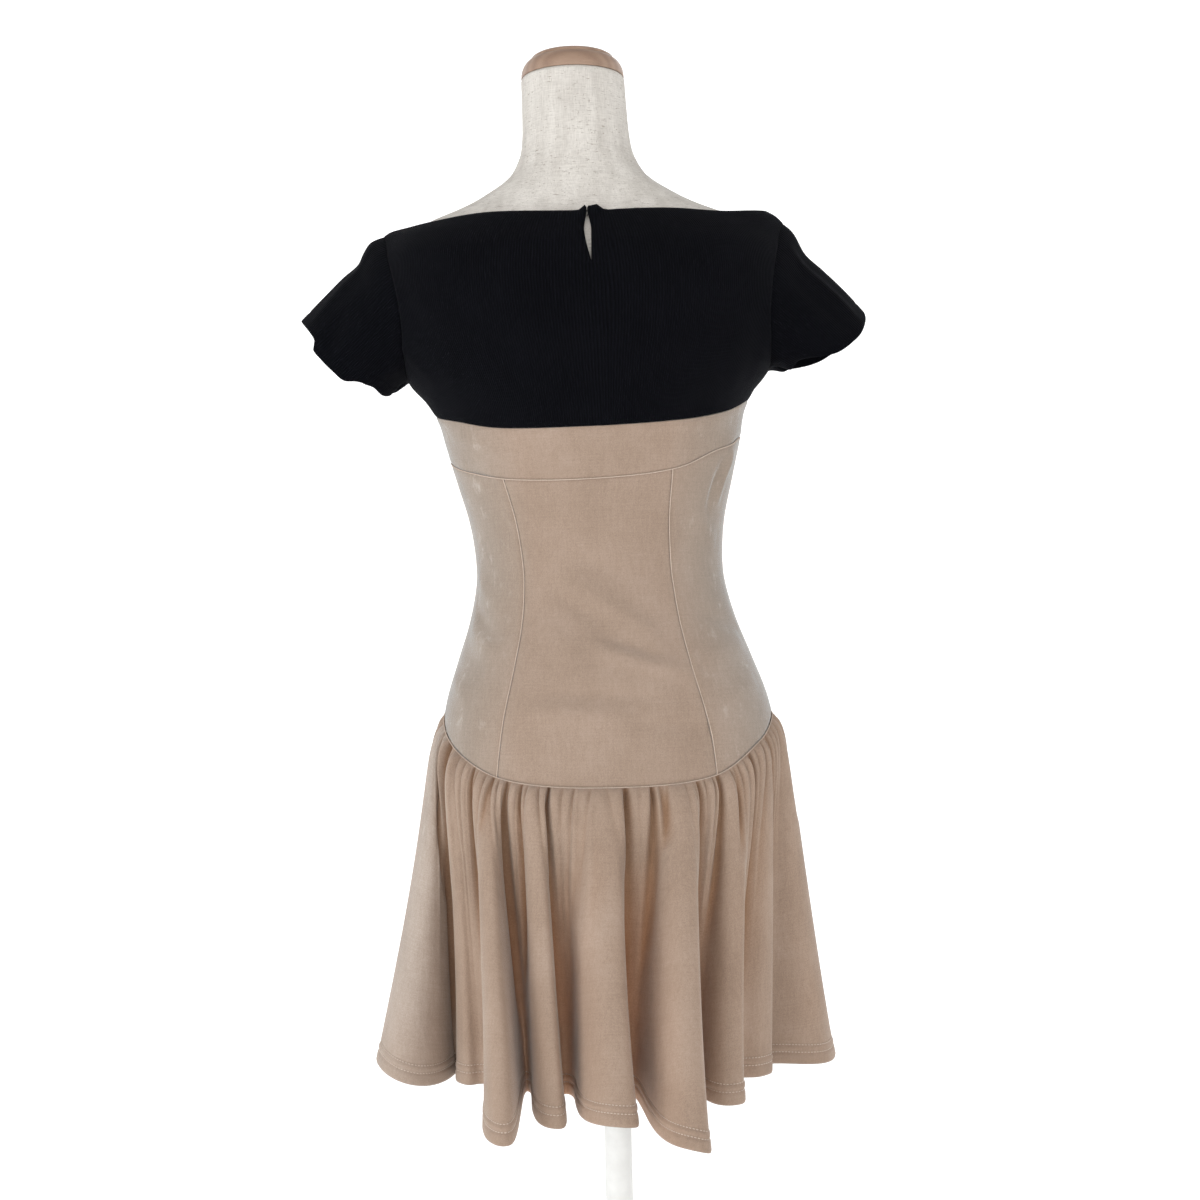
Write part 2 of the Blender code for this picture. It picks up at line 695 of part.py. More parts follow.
def stand(material):
    rim = BASE_RADIUS - BASE_CHAMFER
    plate = (
        (BASE_RADIUS, 0.0),
        (BASE_RADIUS, BASE_THICK - BASE_CHAMFER),
        (rim, BASE_THICK),
    )
    turned("stand_base", plate, BASE_SEGMENTS, (0.0, 0.0, 0.0), material)
    top = TORSO_BOTTOM - SEAM_GAP
    pole = (
        (POLE_RADIUS, BASE_THICK + SEAM_GAP),
        (POLE_RADIUS, top - FLANGE_THICK),
        (FLANGE_RADIUS, top - FLANGE_THICK),
        (FLANGE_RADIUS, top),
    )
    turned("stand_pole", pole, POLE_SEGMENTS, (0.0, 0.0, 0.0), material)


def build():
    clear_scene()
    knit = finish("rib_knit", KNIT_BLACK, 0.85)
    velour = finish("velour", VELOUR_TAUPE, 0.8)
    linen = finish("linen", LINEN, 0.9)
    paint = finish("white_paint", PAINT_WHITE, 0.4)

    yoke("yoke_front", 180.0, knit)
    cut_keyhole(yoke("yoke_back", 0.0, knit))
    neck_hook(finish("hook_black", HOOK_BLACK, 0.4))
    sleeve("sleeve_left", LEFT_SLEEVE, knit)
    sleeve("sleeve_right", RIGHT_SLEEVE, knit)
    bands(velour)
    bodice(velour)
    skirt("skirt_back", 0, len(BACK_FOLDS), velour)
    skirt("skirt_front", len(BACK_FOLDS), len(FRONT_FOLDS), velour)
    torso(linen)
    cap(finish("turned_wood", WOOD, 0.45))
    stand(paint)


build()
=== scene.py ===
import math
from collections import namedtuple

import bmesh
import bpy
import numpy as np
from mathutils import Matrix, Vector


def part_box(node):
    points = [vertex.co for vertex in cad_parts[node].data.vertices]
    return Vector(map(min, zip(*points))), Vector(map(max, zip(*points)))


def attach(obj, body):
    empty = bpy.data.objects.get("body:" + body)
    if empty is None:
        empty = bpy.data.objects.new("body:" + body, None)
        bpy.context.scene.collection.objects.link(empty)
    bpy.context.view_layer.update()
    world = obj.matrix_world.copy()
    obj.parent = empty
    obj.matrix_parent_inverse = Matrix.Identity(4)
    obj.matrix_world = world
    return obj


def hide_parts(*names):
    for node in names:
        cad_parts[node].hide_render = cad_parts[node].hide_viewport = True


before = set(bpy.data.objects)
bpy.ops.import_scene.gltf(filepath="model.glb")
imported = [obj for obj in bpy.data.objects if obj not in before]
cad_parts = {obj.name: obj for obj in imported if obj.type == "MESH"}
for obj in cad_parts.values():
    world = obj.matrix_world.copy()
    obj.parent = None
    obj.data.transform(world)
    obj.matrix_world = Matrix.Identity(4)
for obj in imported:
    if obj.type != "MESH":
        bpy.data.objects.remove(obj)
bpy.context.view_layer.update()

# The cloth keeps the frame's own sizes, in metres. Angles are in degrees round the body from
# the centre back, positive towards +X. The back of the dress faces -Y.
LEAN_START = 0.500
LEAN = 0.033
TORSO_BOTTOM = 0.400
NECK_TOP = 1.102
HEM_HEIGHT = 0.200
BASE_THICK = 0.010
SEAM_GAP = 0.0003
KNIT_WALL = 0.0016
VELOUR_WALL = 0.0013
RIB_PITCH = 0.0024
KNIT_STITCH = 0.0017
STITCH_LENGTH = 0.0029
GRAIN_RADIUS = 0.135
BODY_RADIUS = 0.118
CHEST_RADIUS = 0.165
CUFF_RADIUS = 0.056
SLEEVE_LENGTH = 0.09
WELD = 1e-6


def table(kind, *rows):
    return tuple(kind(*row) for row in rows)


# Half width and depths of the torso at each height, and how square its outline is there
Section = namedtuple("Section", "height half_width back front squareness")
TORSO = table(
    Section,
    (0.400, 0.145, 0.098, 0.094, 2.10),
    (0.430, 0.148, 0.102, 0.098, 2.15),
    (0.460, 0.1485, 0.103, 0.099, 2.15),
    (0.500, 0.1475, 0.102, 0.097, 2.15),
    (0.531, 0.1430, 0.098, 0.094, 2.10),
    (0.568, 0.1308, 0.090, 0.091, 2.05),
    (0.605, 0.1182, 0.080, 0.088, 2.00),
    (0.640, 0.1105, 0.0750, 0.086, 2.00),
    (0.665, 0.1100, 0.0735, 0.086, 2.00),
    (0.697, 0.1135, 0.0750, 0.089, 2.00),
    (0.730, 0.121, 0.080, 0.098, 2.05),
    (0.770, 0.130, 0.087, 0.110, 2.10),
    (0.797, 0.136, 0.091, 0.118, 2.15),
    (0.830, 0.149, 0.094, 0.121, 2.20),
    (0.860, 0.161, 0.096, 0.117, 2.25),
    (0.900, 0.171, 0.095, 0.103, 2.25),
    (0.935, 0.174, 0.086, 0.084, 2.15),
    (0.952, 0.168, 0.077, 0.071, 2.05),
    (0.962, 0.158, 0.071, 0.063, 2.00),
    (0.972, 0.139, 0.065, 0.058, 2.00),
    (0.982, 0.113, 0.060, 0.054, 2.00),
    (0.991, 0.094, 0.057, 0.052, 2.00),
    (1.009, 0.066, 0.053, 0.050, 2.00),
    (1.028, 0.0535, 0.050, 0.0485, 2.00),
    (1.046, 0.0495, 0.0485, 0.048, 2.00),
    (1.075, 0.0480, 0.0478, 0.0475, 2.00),
    (NECK_TOP, 0.0474, 0.0474, 0.0474, 2.00),
)

# How far the cloth's outer face stands off the torso
Fit = namedtuple("Fit", "height back side front")
FITS = table(
    Fit,
    (0.460, 0.0048, 0.0045, 0.0048),
    (0.510, 0.0044, 0.0042, 0.0044),
    (0.560, 0.0037, 0.0038, 0.0038),
    (0.610, 0.0029, 0.0031, 0.0031),
    (0.670, 0.0027, 0.0028, 0.0028),
    (0.705, 0.0030, 0.0032, 0.0033),
    (0.735, 0.0034, 0.0040, 0.0038),
    (0.765, 0.0042, 0.0050, 0.0045),
    (0.795, 0.0046, 0.0058, 0.0048),
    (0.812, 0.0050, 0.0100, 0.0050),
    (0.830, 0.0050, 0.0165, 0.0055),
    (0.860, 0.0050, 0.0180, 0.0060),
    (0.900, 0.0046, 0.0160, 0.0055),
    (0.930, 0.0040, 0.0130, 0.0048),
    (0.950, 0.0034, 0.0085, 0.0040),
    (0.962, 0.0029, 0.0035, 0.0030),
    (0.975, 0.0025, 0.0025, 0.0026),
)

Bulge = namedtuple("Bulge", "angle height wide tall out")
BULGES = table(
    Bulge,
    (84.0, 0.968, 24.0, 0.016, 0.0140),
    (66.0, 0.752, 10.0, 0.017, 0.0050),
    (-74.0, 0.800, 12.0, 0.016, 0.0030),
    (-90.0, 0.952, 13.0, 0.011, 0.0085),
    (92.0, 0.950, 14.0, 0.013, 0.0095),
    (90.0, 0.822, 16.0, 0.020, -0.0035),
)

Seams = namedtuple("Seams", "angle neckline yoke band drop")
SEAMS = table(
    Seams,
    (-90.0, 0.9660, 0.798, 0.753, 0.522),
    (-60.0, 0.9655, 0.786, 0.740, 0.489),
    (-35.0, 0.9685, 0.7765, 0.7315, 0.468),
    (0.0, 0.9655, 0.7750, 0.7300, 0.4615),
    (35.0, 0.9685, 0.7805, 0.7385, 0.4680),
    (60.0, 0.9645, 0.7900, 0.7580, 0.4940),
    (90.0, 0.9600, 0.8050, 0.7700, 0.5160),
    (135.0, 0.9610, 0.7900, 0.7500, 0.4870),
    (180.0, 0.9550, 0.7800, 0.7350, 0.4680),
    (225.0, 0.9620, 0.7900, 0.7450, 0.4890),
    (270.0, 0.9660, 0.798, 0.753, 0.522),
)

Princess = namedtuple("Princess", "height back_left back_right front_right front_left")
PRINCESS_SEAMS = table(
    Princess,
    (0.450, -40.0, 37.0, 143.0, 217.0),
    (0.550, -36.0, 33.5, 146.0, 214.0),
    (0.640, -37.0, 34.5, 145.0, 215.0),
    (0.780, -42.0, 32.0, 143.0, 217.0),
)

# Soft creases on the fitted cloth, from one end to the other, as ridges (out) or troughs (in)
Crease = namedtuple("Crease", "angle_a height_a angle_b height_b width out")
BODY_CREASES = table(
    Crease,
    (-18.0, 0.646, 24.0, 0.588, 0.0100, 0.0016),
    (-28.0, 0.640, 4.0, 0.597, 0.0080, -0.0013),
    (-4.0, 0.596, 24.0, 0.568, 0.0075, -0.0012),
    (-8.0, 0.584, 36.0, 0.552, 0.0090, 0.0016),
    (-14.0, 0.664, 14.0, 0.640, 0.0090, -0.0008),
    (-34.0, 0.528, 8.0, 0.520, 0.0090, 0.0012),
    (-26.0, 0.544, 20.0, 0.536, 0.0080, -0.0010),
    (6.0, 0.516, 40.0, 0.506, 0.0090, -0.0009),
    (-30.0, 0.612, -8.0, 0.566, 0.0120, 0.0008),
    (62.0, 0.752, 58.0, 0.700, 0.0050, -0.0014),
    (68.0, 0.757, 66.0, 0.705, 0.0060, 0.0014),
    (44.0, 0.700, 70.0, 0.672, 0.0100, 0.0010),
    (38.0, 0.566, 76.0, 0.584, 0.0100, 0.0012),
    (42.0, 0.610, 80.0, 0.596, 0.0090, -0.0009),
    (44.0, 0.530, 72.0, 0.548, 0.0090, 0.0009),
    (-80.0, 0.650, -46.0, 0.612, 0.0090, 0.0011),
    (-78.0, 0.622, -46.0, 0.588, 0.0070, -0.0009),
    (-78.0, 0.606, -44.0, 0.572, 0.0080, 0.0010),
    (-82.0, 0.588, -50.0, 0.560, 0.0080, -0.0008),
    (-84.0, 0.560, -56.0, 0.536, 0.0080, 0.0010),
    (-70.0, 0.775, -36.0, 0.762, 0.0090, 0.0010),
    (-64.0, 0.744, -44.0, 0.728, 0.0060, -0.0008),
    (30.0, 0.770, 66.0, 0.785, 0.0090, 0.0010),
    (150.0, 0.642, 196.0, 0.610, 0.0110, 0.0012),
    (168.0, 0.660, 206.0, 0.646, 0.0100, -0.0009),
    (118.0, 0.700, 146.0, 0.676, 0.0100, 0.0010),
    (212.0, 0.672, 250.0, 0.700, 0.0100, 0.0010),
    (216.0, 0.600, 252.0, 0.566, 0.0110, 0.0011),
    (112.0, 0.560, 150.0, 0.540, 0.0110, 0.0010),
    (150.0, 0.757, 190.0, 0.762, 0.0100, 0.0008),
)
KNIT_CREASES = table(
    Crease,
    (-62.0, 0.905, -50.0, 0.842, 0.009, -0.0012),
    (-74.0, 0.872, -60.0, 0.822, 0.008, 0.0012),
    (58.0, 0.880, 66.0, 0.820, 0.010, -0.0012),
    (46.0, 0.850, 62.0, 0.812, 0.009, 0.0010),
    (-34.0, 0.860, 4.0, 0.842, 0.020, 0.0006),
    (8.0, 0.822, 44.0, 0.806, 0.014, 0.0006),
    (120.0, 0.900, 112.0, 0.846, 0.010, -0.0012),
    (246.0, 0.900, 252.0, 0.846, 0.010, -0.0012),
    (150.0, 0.834, 196.0, 0.848, 0.018, 0.0006),
)


def curve(rows, column, at, key="height"):
    """Smooth curve through one column of a table, read at an array of key values."""
    keys = np.array([getattr(row, key) for row in rows])
    values = np.array([getattr(row, column) for row in rows])
    slopes = np.gradient(values)
    slopes[1:-1] = (values[2:] - values[:-2]) / (keys[2:] - keys[:-2])
    slopes[0] = (values[1] - values[0]) / (keys[1] - keys[0])
    slopes[-1] = (values[-1] - values[-2]) / (keys[-1] - keys[-2])
    at = np.clip(at, keys[0], keys[-1])
    index = np.clip(np.searchsorted(keys, at, side="right") - 1, 0, len(keys) - 2)
    span = keys[index + 1] - keys[index]
    part = (at - keys[index]) / span
    rise = part * part * (3.0 - 2.0 * part)
    leave = part * (1.0 - part) ** 2 * span * slopes[index]
    arrive = part * part * (part - 1.0) * span * slopes[index + 1]
    return values[index] + (values[index + 1] - values[index]) * rise + leave + arrive


def seam_height(column, angle):
    """Heights of a cross seam or of the neckline at an array of angles."""
    return curve(SEAMS, column, (angle + 90.0) % 360.0 - 90.0, "angle")


def hill(distance, width):
    """Soft bump: 1 at the middle, fading over a width."""
    return np.exp(-((distance / width) ** 2))


def torso_point(angle, height):
    across = np.sin(np.radians(angle))
    away = -np.cos(np.radians(angle))
    power = 2.0 / curve(TORSO, "squareness", height)
    back = curve(TORSO, "back", height)
    depth = np.where(away < 0.0, back, curve(TORSO, "front", height))
    half_width = curve(TORSO, "half_width", height)
    x = half_width * np.sign(across) * np.abs(across) ** power
    y = depth * np.sign(away) * np.abs(away) ** power
    lean = LEAN * np.maximum(0.0, height - LEAN_START)
    return np.stack([x - lean, y, height + 0.0 * x], axis=-1)


def outward(point_at, first, second, first_step, second_step):
    """Unit normals of a surface whose first parameter runs right and whose second runs up."""
    right = point_at(first + first_step, second) - point_at(first - first_step, second)
    up = point_at(first, second + second_step) - point_at(first, second - second_step)
    normal = np.cross(right, up)
    return normal / np.linalg.norm(normal, axis=-1, keepdims=True)


def stand_off(angle, height):
    side = np.sin(np.radians(angle)) ** 4
    back = curve(FITS, "back", height)
    middle = np.where(np.cos(np.radians(angle)) > 0.0, back, curve(FITS, "front", height))
    distance = middle * (1.0 - side) + curve(FITS, "side", height) * side
    for bulge in BULGES:
        turn = (angle - bulge.angle + 180.0) % 360.0 - 180.0
        swell = hill(turn, bulge.wide) * hill(height - bulge.height, bulge.tall)
        distance = distance + bulge.out * swell
    return distance


def cloth_point(angle, height, lift=0.0):
    """Points on the dress body, lifted above its plain outer face."""
    normal = outward(torso_point, angle, height, 0.5, 0.0005)
    return torso_point(angle, height) + normal * (stand_off(angle, height) + lift)[..., None]


def crease_relief(creases, angle, height, radius=GRAIN_RADIUS, strength=1.0):
    """Sum of soft ridges and troughs, each tapering towards both of its ends."""
    relief = np.zeros(np.shape(angle))
    per_degree = math.radians(1.0) * radius
    for crease in creases:
        across = (crease.angle_b - crease.angle_a) * per_degree
        run = np.array([across, crease.height_b - crease.height_a])
        length = np.linalg.norm(run)
        turn = (angle - crease.angle_a + 180.0) % 360.0 - 180.0
        along = (turn * per_degree * run[0] + (height - crease.height_a) * run[1]) / length
        beside = (turn * per_degree * run[1] - (height - crease.height_a) * run[0]) / length
        taper = np.clip(1.0 - np.abs(2.0 * along / length - 1.0) ** 2.5, 0.0, 1.0)
        taper = np.where((along < 0.0) | (along > length), 0.0, taper)
        relief = relief + strength * crease.out * hill(beside, crease.width) * taper
    return relief


# Making meshes and objects


def piece(name, shape, material, slot, *nodes):
    """Finished object from a bmesh. It rides on the body, and stands for the named nodes."""
    mesh = bpy.data.meshes.new(name)
    shape.to_mesh(mesh)
    shape.free()
    mesh.shade_smooth()
    mesh.materials.append(material)
    made = bpy.data.objects.new(name, mesh)
    bpy.context.scene.collection.objects.link(made)
    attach(made, "root")
    if nodes:
        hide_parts(*nodes)
    return made


def grid_sheet(points, grain, open_cells=None, shades=None):
    """Sheet of quads through a grid of points, with its grain in metres as the UV map.

    shades names values from 0 to 1 that the material reads, such as how deep a point lies; they
    place painted light, shade and sheen.
    """
    columns, rows = points.shape[0] - 1, points.shape[1] - 1
    shape = bmesh.new()
    bmesh.ops.create_grid(shape, x_segments=columns, y_segments=rows, size=0.5)
    if open_cells is not None:
        cut = []
        for face in shape.faces:
            place = face.calc_center_median() + Vector((0.5, 0.5, 0.0))
            if open_cells[int(place.x * columns), int(place.y * rows)]:
                cut.append(face)
        bmesh.ops.delete(shape, geom=cut, context="FACES")
    layer = shape.loops.layers.uv.new("grain")
    layers = {name: shape.verts.layers.float.new(name) for name in shades or ()}
    for vertex in shape.verts:
        column = round((vertex.co.x + 0.5) * columns)
        row = round((vertex.co.y + 0.5) * rows)
        vertex.co = points[column, row]
        for name, values in layers.items():
            vertex[values] = shades[name][column, row]
        for loop in vertex.link_loops:
            loop[layer].uv = grain[column, row]
    return shape


def sweep(path, radius, sides=10):
    """Closed tube along a path, with a flat end at each side."""
    path = np.array(path)
    along = np.gradient(path, axis=0)
    along /= np.linalg.norm(along, axis=1, keepdims=True)
    first = np.cross(along, (0.0, 1.0, 0.03))
    first /= np.linalg.norm(first, axis=1, keepdims=True)
    second = np.cross(along, first)
    turn = np.linspace(0.0, math.tau, sides + 1)[:, None, None]
    points = path[None] + radius * (np.cos(turn) * first[None] + np.sin(turn) * second[None])
    shape = grid_sheet(points, points[..., :2])
    bmesh.ops.remove_doubles(shape, verts=shape.verts, dist=WELD)
    bmesh.ops.edgeloop_fill(shape, edges=[edge for edge in shape.edges if edge.is_boundary])
    bmesh.ops.recalc_face_normals(shape, faces=shape.faces)
    return shape


def thick_cloth(made, wall):
    """Gives a sheet its wall, inwards from the outer face."""
    solid = made.modifiers.new("Wall", "SOLIDIFY")
    solid.thickness = wall
    solid.offset = -1.0
    return made


def seam_shares(length, count, steps=(0.0, 0.0006, 0.0013, 0.0022, 0.0036, 0.0056)):
    """Shares from 0 to 1 along a length, close together at both of its seams."""
    near = np.array(steps) / length
    middle = np.linspace(near[-1], 1.0 - near[-1], count)[1:-1]
    return np.concatenate([near, middle, 1.0 - near[::-1]])


def seam_roll(distance, depth=0.0006, reach=0.0013):
    """Cloth turning in at a seam, with the soft swell of the seam allowance beside it."""
    return -depth * hill(distance, reach) + 0.35 * depth * hill(distance - 0.0055, 0.003)


# Bodice and bands

BODY_CREASE_STRENGTH = 1.9
Panel = namedtuple("Panel", "node left right columns cut_width cut_length")
BODICE_PANELS = table(
    Panel,
    ("bodice_back_left", -90.0, "back_left", 44, 0.135, 0.290),
    ("bodice_back_centre", "back_left", "back_right", 64, 0.185, 0.280),
    ("bodice_back_right", "back_right", 90.0, 44, 0.145, 0.305),
    ("bodice_front_right", 90.0, "front_right", 40, 0.145, 0.295),
    ("bodice_front_centre", "front_right", "front_left", 60, 0.190, 0.280),
    ("bodice_front_left", "front_left", 270.0, 40, 0.145, 0.285),
)


def upright_line(seam, height):
    """Angles of a princess seam, or of a straight side seam, at an array of heights."""
    if isinstance(seam, float):
        return seam + 0.0 * height
    return curve(PRINCESS_SEAMS, seam, height)


def between_seams(left, right, low, high, share, rise):
    """Angles and heights at shares of the way between two upright seams and two cross seams."""
    height = 0.6 + 0.0 * rise
    for _ in range(4):
        angle = upright_line(left, height) * (1.0 - share) + upright_line(right, height) * share
        height = seam_height(low, angle) * (1.0 - rise) + seam_height(high, angle) * rise
    return angle, height


def velour_panel(node, left, right, low, high, shares, rises, velour):
    """Sheet between two upright seams and two cross seams, rolled in at its seams."""
    share, rise = np.meshgrid(shares, rises, indexing="ij")
    angle, height = between_seams(left, right, low, high, share, rise)
    degrees_wide = upright_line(right, height) - upright_line(left, height)
    width = degrees_wide * math.radians(1.0) * BODY_RADIUS
    tall = seam_height(high, angle) - seam_height(low, angle)
    lift = crease_relief(BODY_CREASES, angle, height, strength=BODY_CREASE_STRENGTH)
    for distance in (share * width, (1.0 - share) * width, rise * tall, (1.0 - rise) * tall):
        lift = lift + seam_roll(distance)
    gap = SEAM_GAP / 2.0
    height = height + gap * (1.0 - 2.0 * rise)
    angle = angle + np.degrees(gap / 0.12) * (1.0 - 2.0 * share)
    grain = np.stack([np.radians(angle) * GRAIN_RADIUS, height], axis=-1)
    # Painted sheen: towards the sides the velour is tinted greyer and cooler, with pale pile marks
    # on top.
    sheen_and_brushed = np.clip((np.abs(np.sin(np.radians(angle))) - 0.5) / 0.35, 0.0, 1.0)
    shape = grid_sheet(cloth_point(angle, height, lift), grain, shades={"sheen_and_brushed": sheen_and_brushed})
    return thick_cloth(piece(node + "_velour", shape, velour, "velour", node), VELOUR_WALL)


def bodice(velour):
    rises = seam_shares(0.28, 90)
    for panel in BODICE_PANELS:
        shares = seam_shares(0.12, panel.columns)
        made = velour_panel(
            panel.node, panel.left, panel.right, "drop", "band", shares, rises, velour
        )


def seam_line(name, points, pale):
    """Raised line of pile along a seam, sunk between the two cloths. Its pale colour is a painted
    highlight, as of pile catching the light.
    """
    shape = sweep(points, 0.00050, 6)
    piece(name, shape, pale, "velour")


def velour_seams(pale):
    turns = np.linspace(-90.0, 270.0, 481)
    for column, raised in (("band", 0.0003), ("drop", 0.0006)):
        points = cloth_point(turns, seam_height(column, turns), raised + 0.0 * turns)
        seam_line(column + "_seam", points, pale)
    rise = np.linspace(0.0, 1.0, 141)
    for name, seam in (
        ("back_left_seam", "back_left"),
        ("back_right_seam", "back_right"),
        ("front_right_seam", "front_right"),
        ("front_left_seam", "front_left"),
        ("side_seam_left", -90.0),
        ("side_seam_right", 90.0),
    ):
        angle, height = between_seams(seam, seam, "drop", "band", 0.5, rise)
        seam_line(name, cloth_point(angle, height, 0.0001 + 0.0 * rise), pale)


def bands(velour):
    shares, rises = seam_shares(0.36, 150), seam_shares(0.045, 14)
    for node, left, right in (("band_back", -90.0, 90.0), ("band_front", 90.0, 270.0)):
        made = velour_panel(node, left, right, "band", "yoke", shares, rises, velour)


# Skirt

SKIRT_PUFF = 0.011
PUFF_START = 0.04
PUFF_LOSS = 0.7
FOLD_TURN = 26.0
FOLD_GROWTH = 1.15
HEM_ROOT_HALF_WIDTH = 0.140
HEM_ROOT_BACK = 0.112
HEM_ROOT_FRONT = 0.106
HEM_SHIFT = -0.006
HEM_DEPTH = 0.0170
COURSE_WIDTH = 0.047
STITCH_ROWS = (0.0172, 0.0106)
STITCH_SIZE = (0.00130, 0.00045, 0.00032)

# A fold's angle is where it is rooted at the hem. It stands out by its depth, widens by its
# swell and leans sideways by its skew. Its ridge hangs by its dip below the hem's height, and
# its flanks by its tilt more. Its start is the angle of its left edge at the drop seam.
Fold = namedtuple("Fold", "angle depth swell skew dip tilt start")
FOLDS = table(
    Fold,
    (-87.0, 0.069, 0.050, 0.036, -0.012, 0.014, -90.0),
    (-61.0, 0.014, 0.004, 0.000, 0.000, 0.000, -70.0),
    (-36.0, 0.126, 0.013, 0.014, 0.010, 0.000, -51.0),
    (-24.0, 0.094, 0.011, 0.013, 0.003, 0.000, -32.0),
    (-6.5, 0.106, 0.018, 0.013, -0.003, 0.004, -16.0),
    (17.5, 0.130, 0.015, 0.011, 0.012, 0.010, 8.0),
    (35.5, 0.060, 0.010, 0.002, 0.002, 0.000, 31.0),
    (61.5, 0.016, 0.005, 0.000, 0.000, 0.000, 51.0),
    (85.5, 0.064, 0.025, 0.000, 0.000, -0.003, 70.0),
    (107.0, 0.030, 0.008, 0.000, 0.000, 0.000, 90.0),
    (127.0, 0.082, 0.012, 0.000, 0.003, 0.000, 112.5),
    (147.0, 0.058, 0.012, 0.000, 0.002, 0.000, 135.0),
    (168.0, 0.104, 0.013, 0.000, 0.008, 0.000, 157.5),
    (190.0, 0.086, 0.014, 0.000, 0.004, 0.000, 180.0),
    (212.0, 0.098, 0.013, 0.000, 0.006, 0.000, 202.5),
    (234.0, 0.048, 0.010, 0.000, 0.001, 0.000, 225.0),
    (256.0, 0.060, 0.012, 0.000, 0.000, 0.000, 247.5),
)
# A ridge leans to one side and is flattened. The left side fold is fuller at its root, which
# a power below 1 gives it.
RIDGE_LEAN = 0.55
RIDGE_FLATNESS = 1.2
LEFT_FOLD_FULLNESS = 0.45
BACK_FOLDS = 9
FRONT_FOLDS = 8

# Main creases of the skirt, in courses (folds counted from the left side) and in metres down
# from the seam. Troughs are negative.
SkirtCrease = namedtuple("SkirtCrease", "course_a down_a course_b down_b width out")
SKIRT_CREASES = table(
    SkirtCrease,
    (0.62, 0.002, 0.92, 0.150, 0.0047, -0.0059),
    (1.02, 0.002, 1.05, 0.310, 0.0090, -0.0090),
    (1.55, 0.010, 1.62, 0.130, 0.0057, 0.0026),
    (2.05, 0.002, 2.06, 0.170, 0.0038, -0.0066),
    (2.55, 0.002, 2.40, 0.060, 0.0038, -0.0042),
    (2.86, 0.002, 2.90, 0.220, 0.0034, -0.0080),
    (3.20, 0.002, 3.14, 0.180, 0.0034, -0.0066),
    (3.80, 0.002, 3.88, 0.210, 0.0034, -0.0078),
    (4.30, 0.020, 4.22, 0.120, 0.0052, -0.0028),
    (4.45, 0.030, 4.36, 0.150, 0.0057, 0.0019),
    (4.82, 0.002, 4.90, 0.220, 0.0034, -0.0080),
    (5.16, 0.002, 5.10, 0.170, 0.0034, -0.0070),
    (5.28, 0.002, 5.34, 0.060, 0.0038, -0.0046),
    (5.85, 0.002, 5.90, 0.210, 0.0034, -0.0078),
    (6.22, 0.002, 6.12, 0.150, 0.0036, -0.0064),
    (6.60, 0.002, 6.62, 0.080, 0.0047, -0.0039),
    (7.00, 0.002, 7.00, 0.230, 0.0042, -0.0066),
    (7.70, 0.004, 7.80, 0.140, 0.0057, -0.0042),
    (8.55, 0.004, 8.60, 0.100, 0.0047, -0.0049),
    (9.10, 0.004, 9.30, 0.130, 0.0047, -0.0053),
    (9.90, 0.002, 10.00, 0.120, 0.0038, -0.0063),
    (10.60, 0.002, 10.50, 0.070, 0.0043, -0.0046),
    (11.05, 0.002, 10.98, 0.110, 0.0038, -0.0059),
    (11.70, 0.002, 11.95, 0.140, 0.0040, -0.0059),
    (12.25, 0.002, 12.04, 0.090, 0.0038, -0.0059),
    (12.85, 0.002, 12.98, 0.120, 0.0038, -0.0063),
    (13.40, 0.010, 13.30, 0.130, 0.0057, 0.0022),
    (13.90, 0.002, 14.00, 0.110, 0.0038, -0.0063),
    (14.60, 0.002, 14.70, 0.080, 0.0043, -0.0042),
    (15.10, 0.002, 15.02, 0.130, 0.0040, -0.0059),
    (15.80, 0.002, 15.95, 0.140, 0.0047, -0.0053),
    (16.45, 0.002, 16.40, 0.090, 0.0047, -0.0046),
)


def fold_column(column, place):
    """A column of the fold table at any place round the skirt, going on past a full turn."""
    values = np.array([getattr(fold, column) for fold in FOLDS])
    turns = 360.0 * (place // len(FOLDS)) if column in ("angle", "start") else 0.0
    return values[place % len(FOLDS)] + turns


def fold_shape(phase, index):
    """Height across a fold, 0 in the valleys and 1 on the flat ridge.

    A ridge is steeper on its right, apart from the left side fold, which is steeper on its left.
    """
    lean = np.where(index % len(FOLDS) == 0, -RIDGE_LEAN, RIDGE_LEAN)
    leaned = phase - lean * (0.5 + 0.5 * np.cos(phase))
    return 0.5 + 0.5 * np.tanh(RIDGE_FLATNESS * np.cos(leaned)) / math.tanh(RIDGE_FLATNESS)


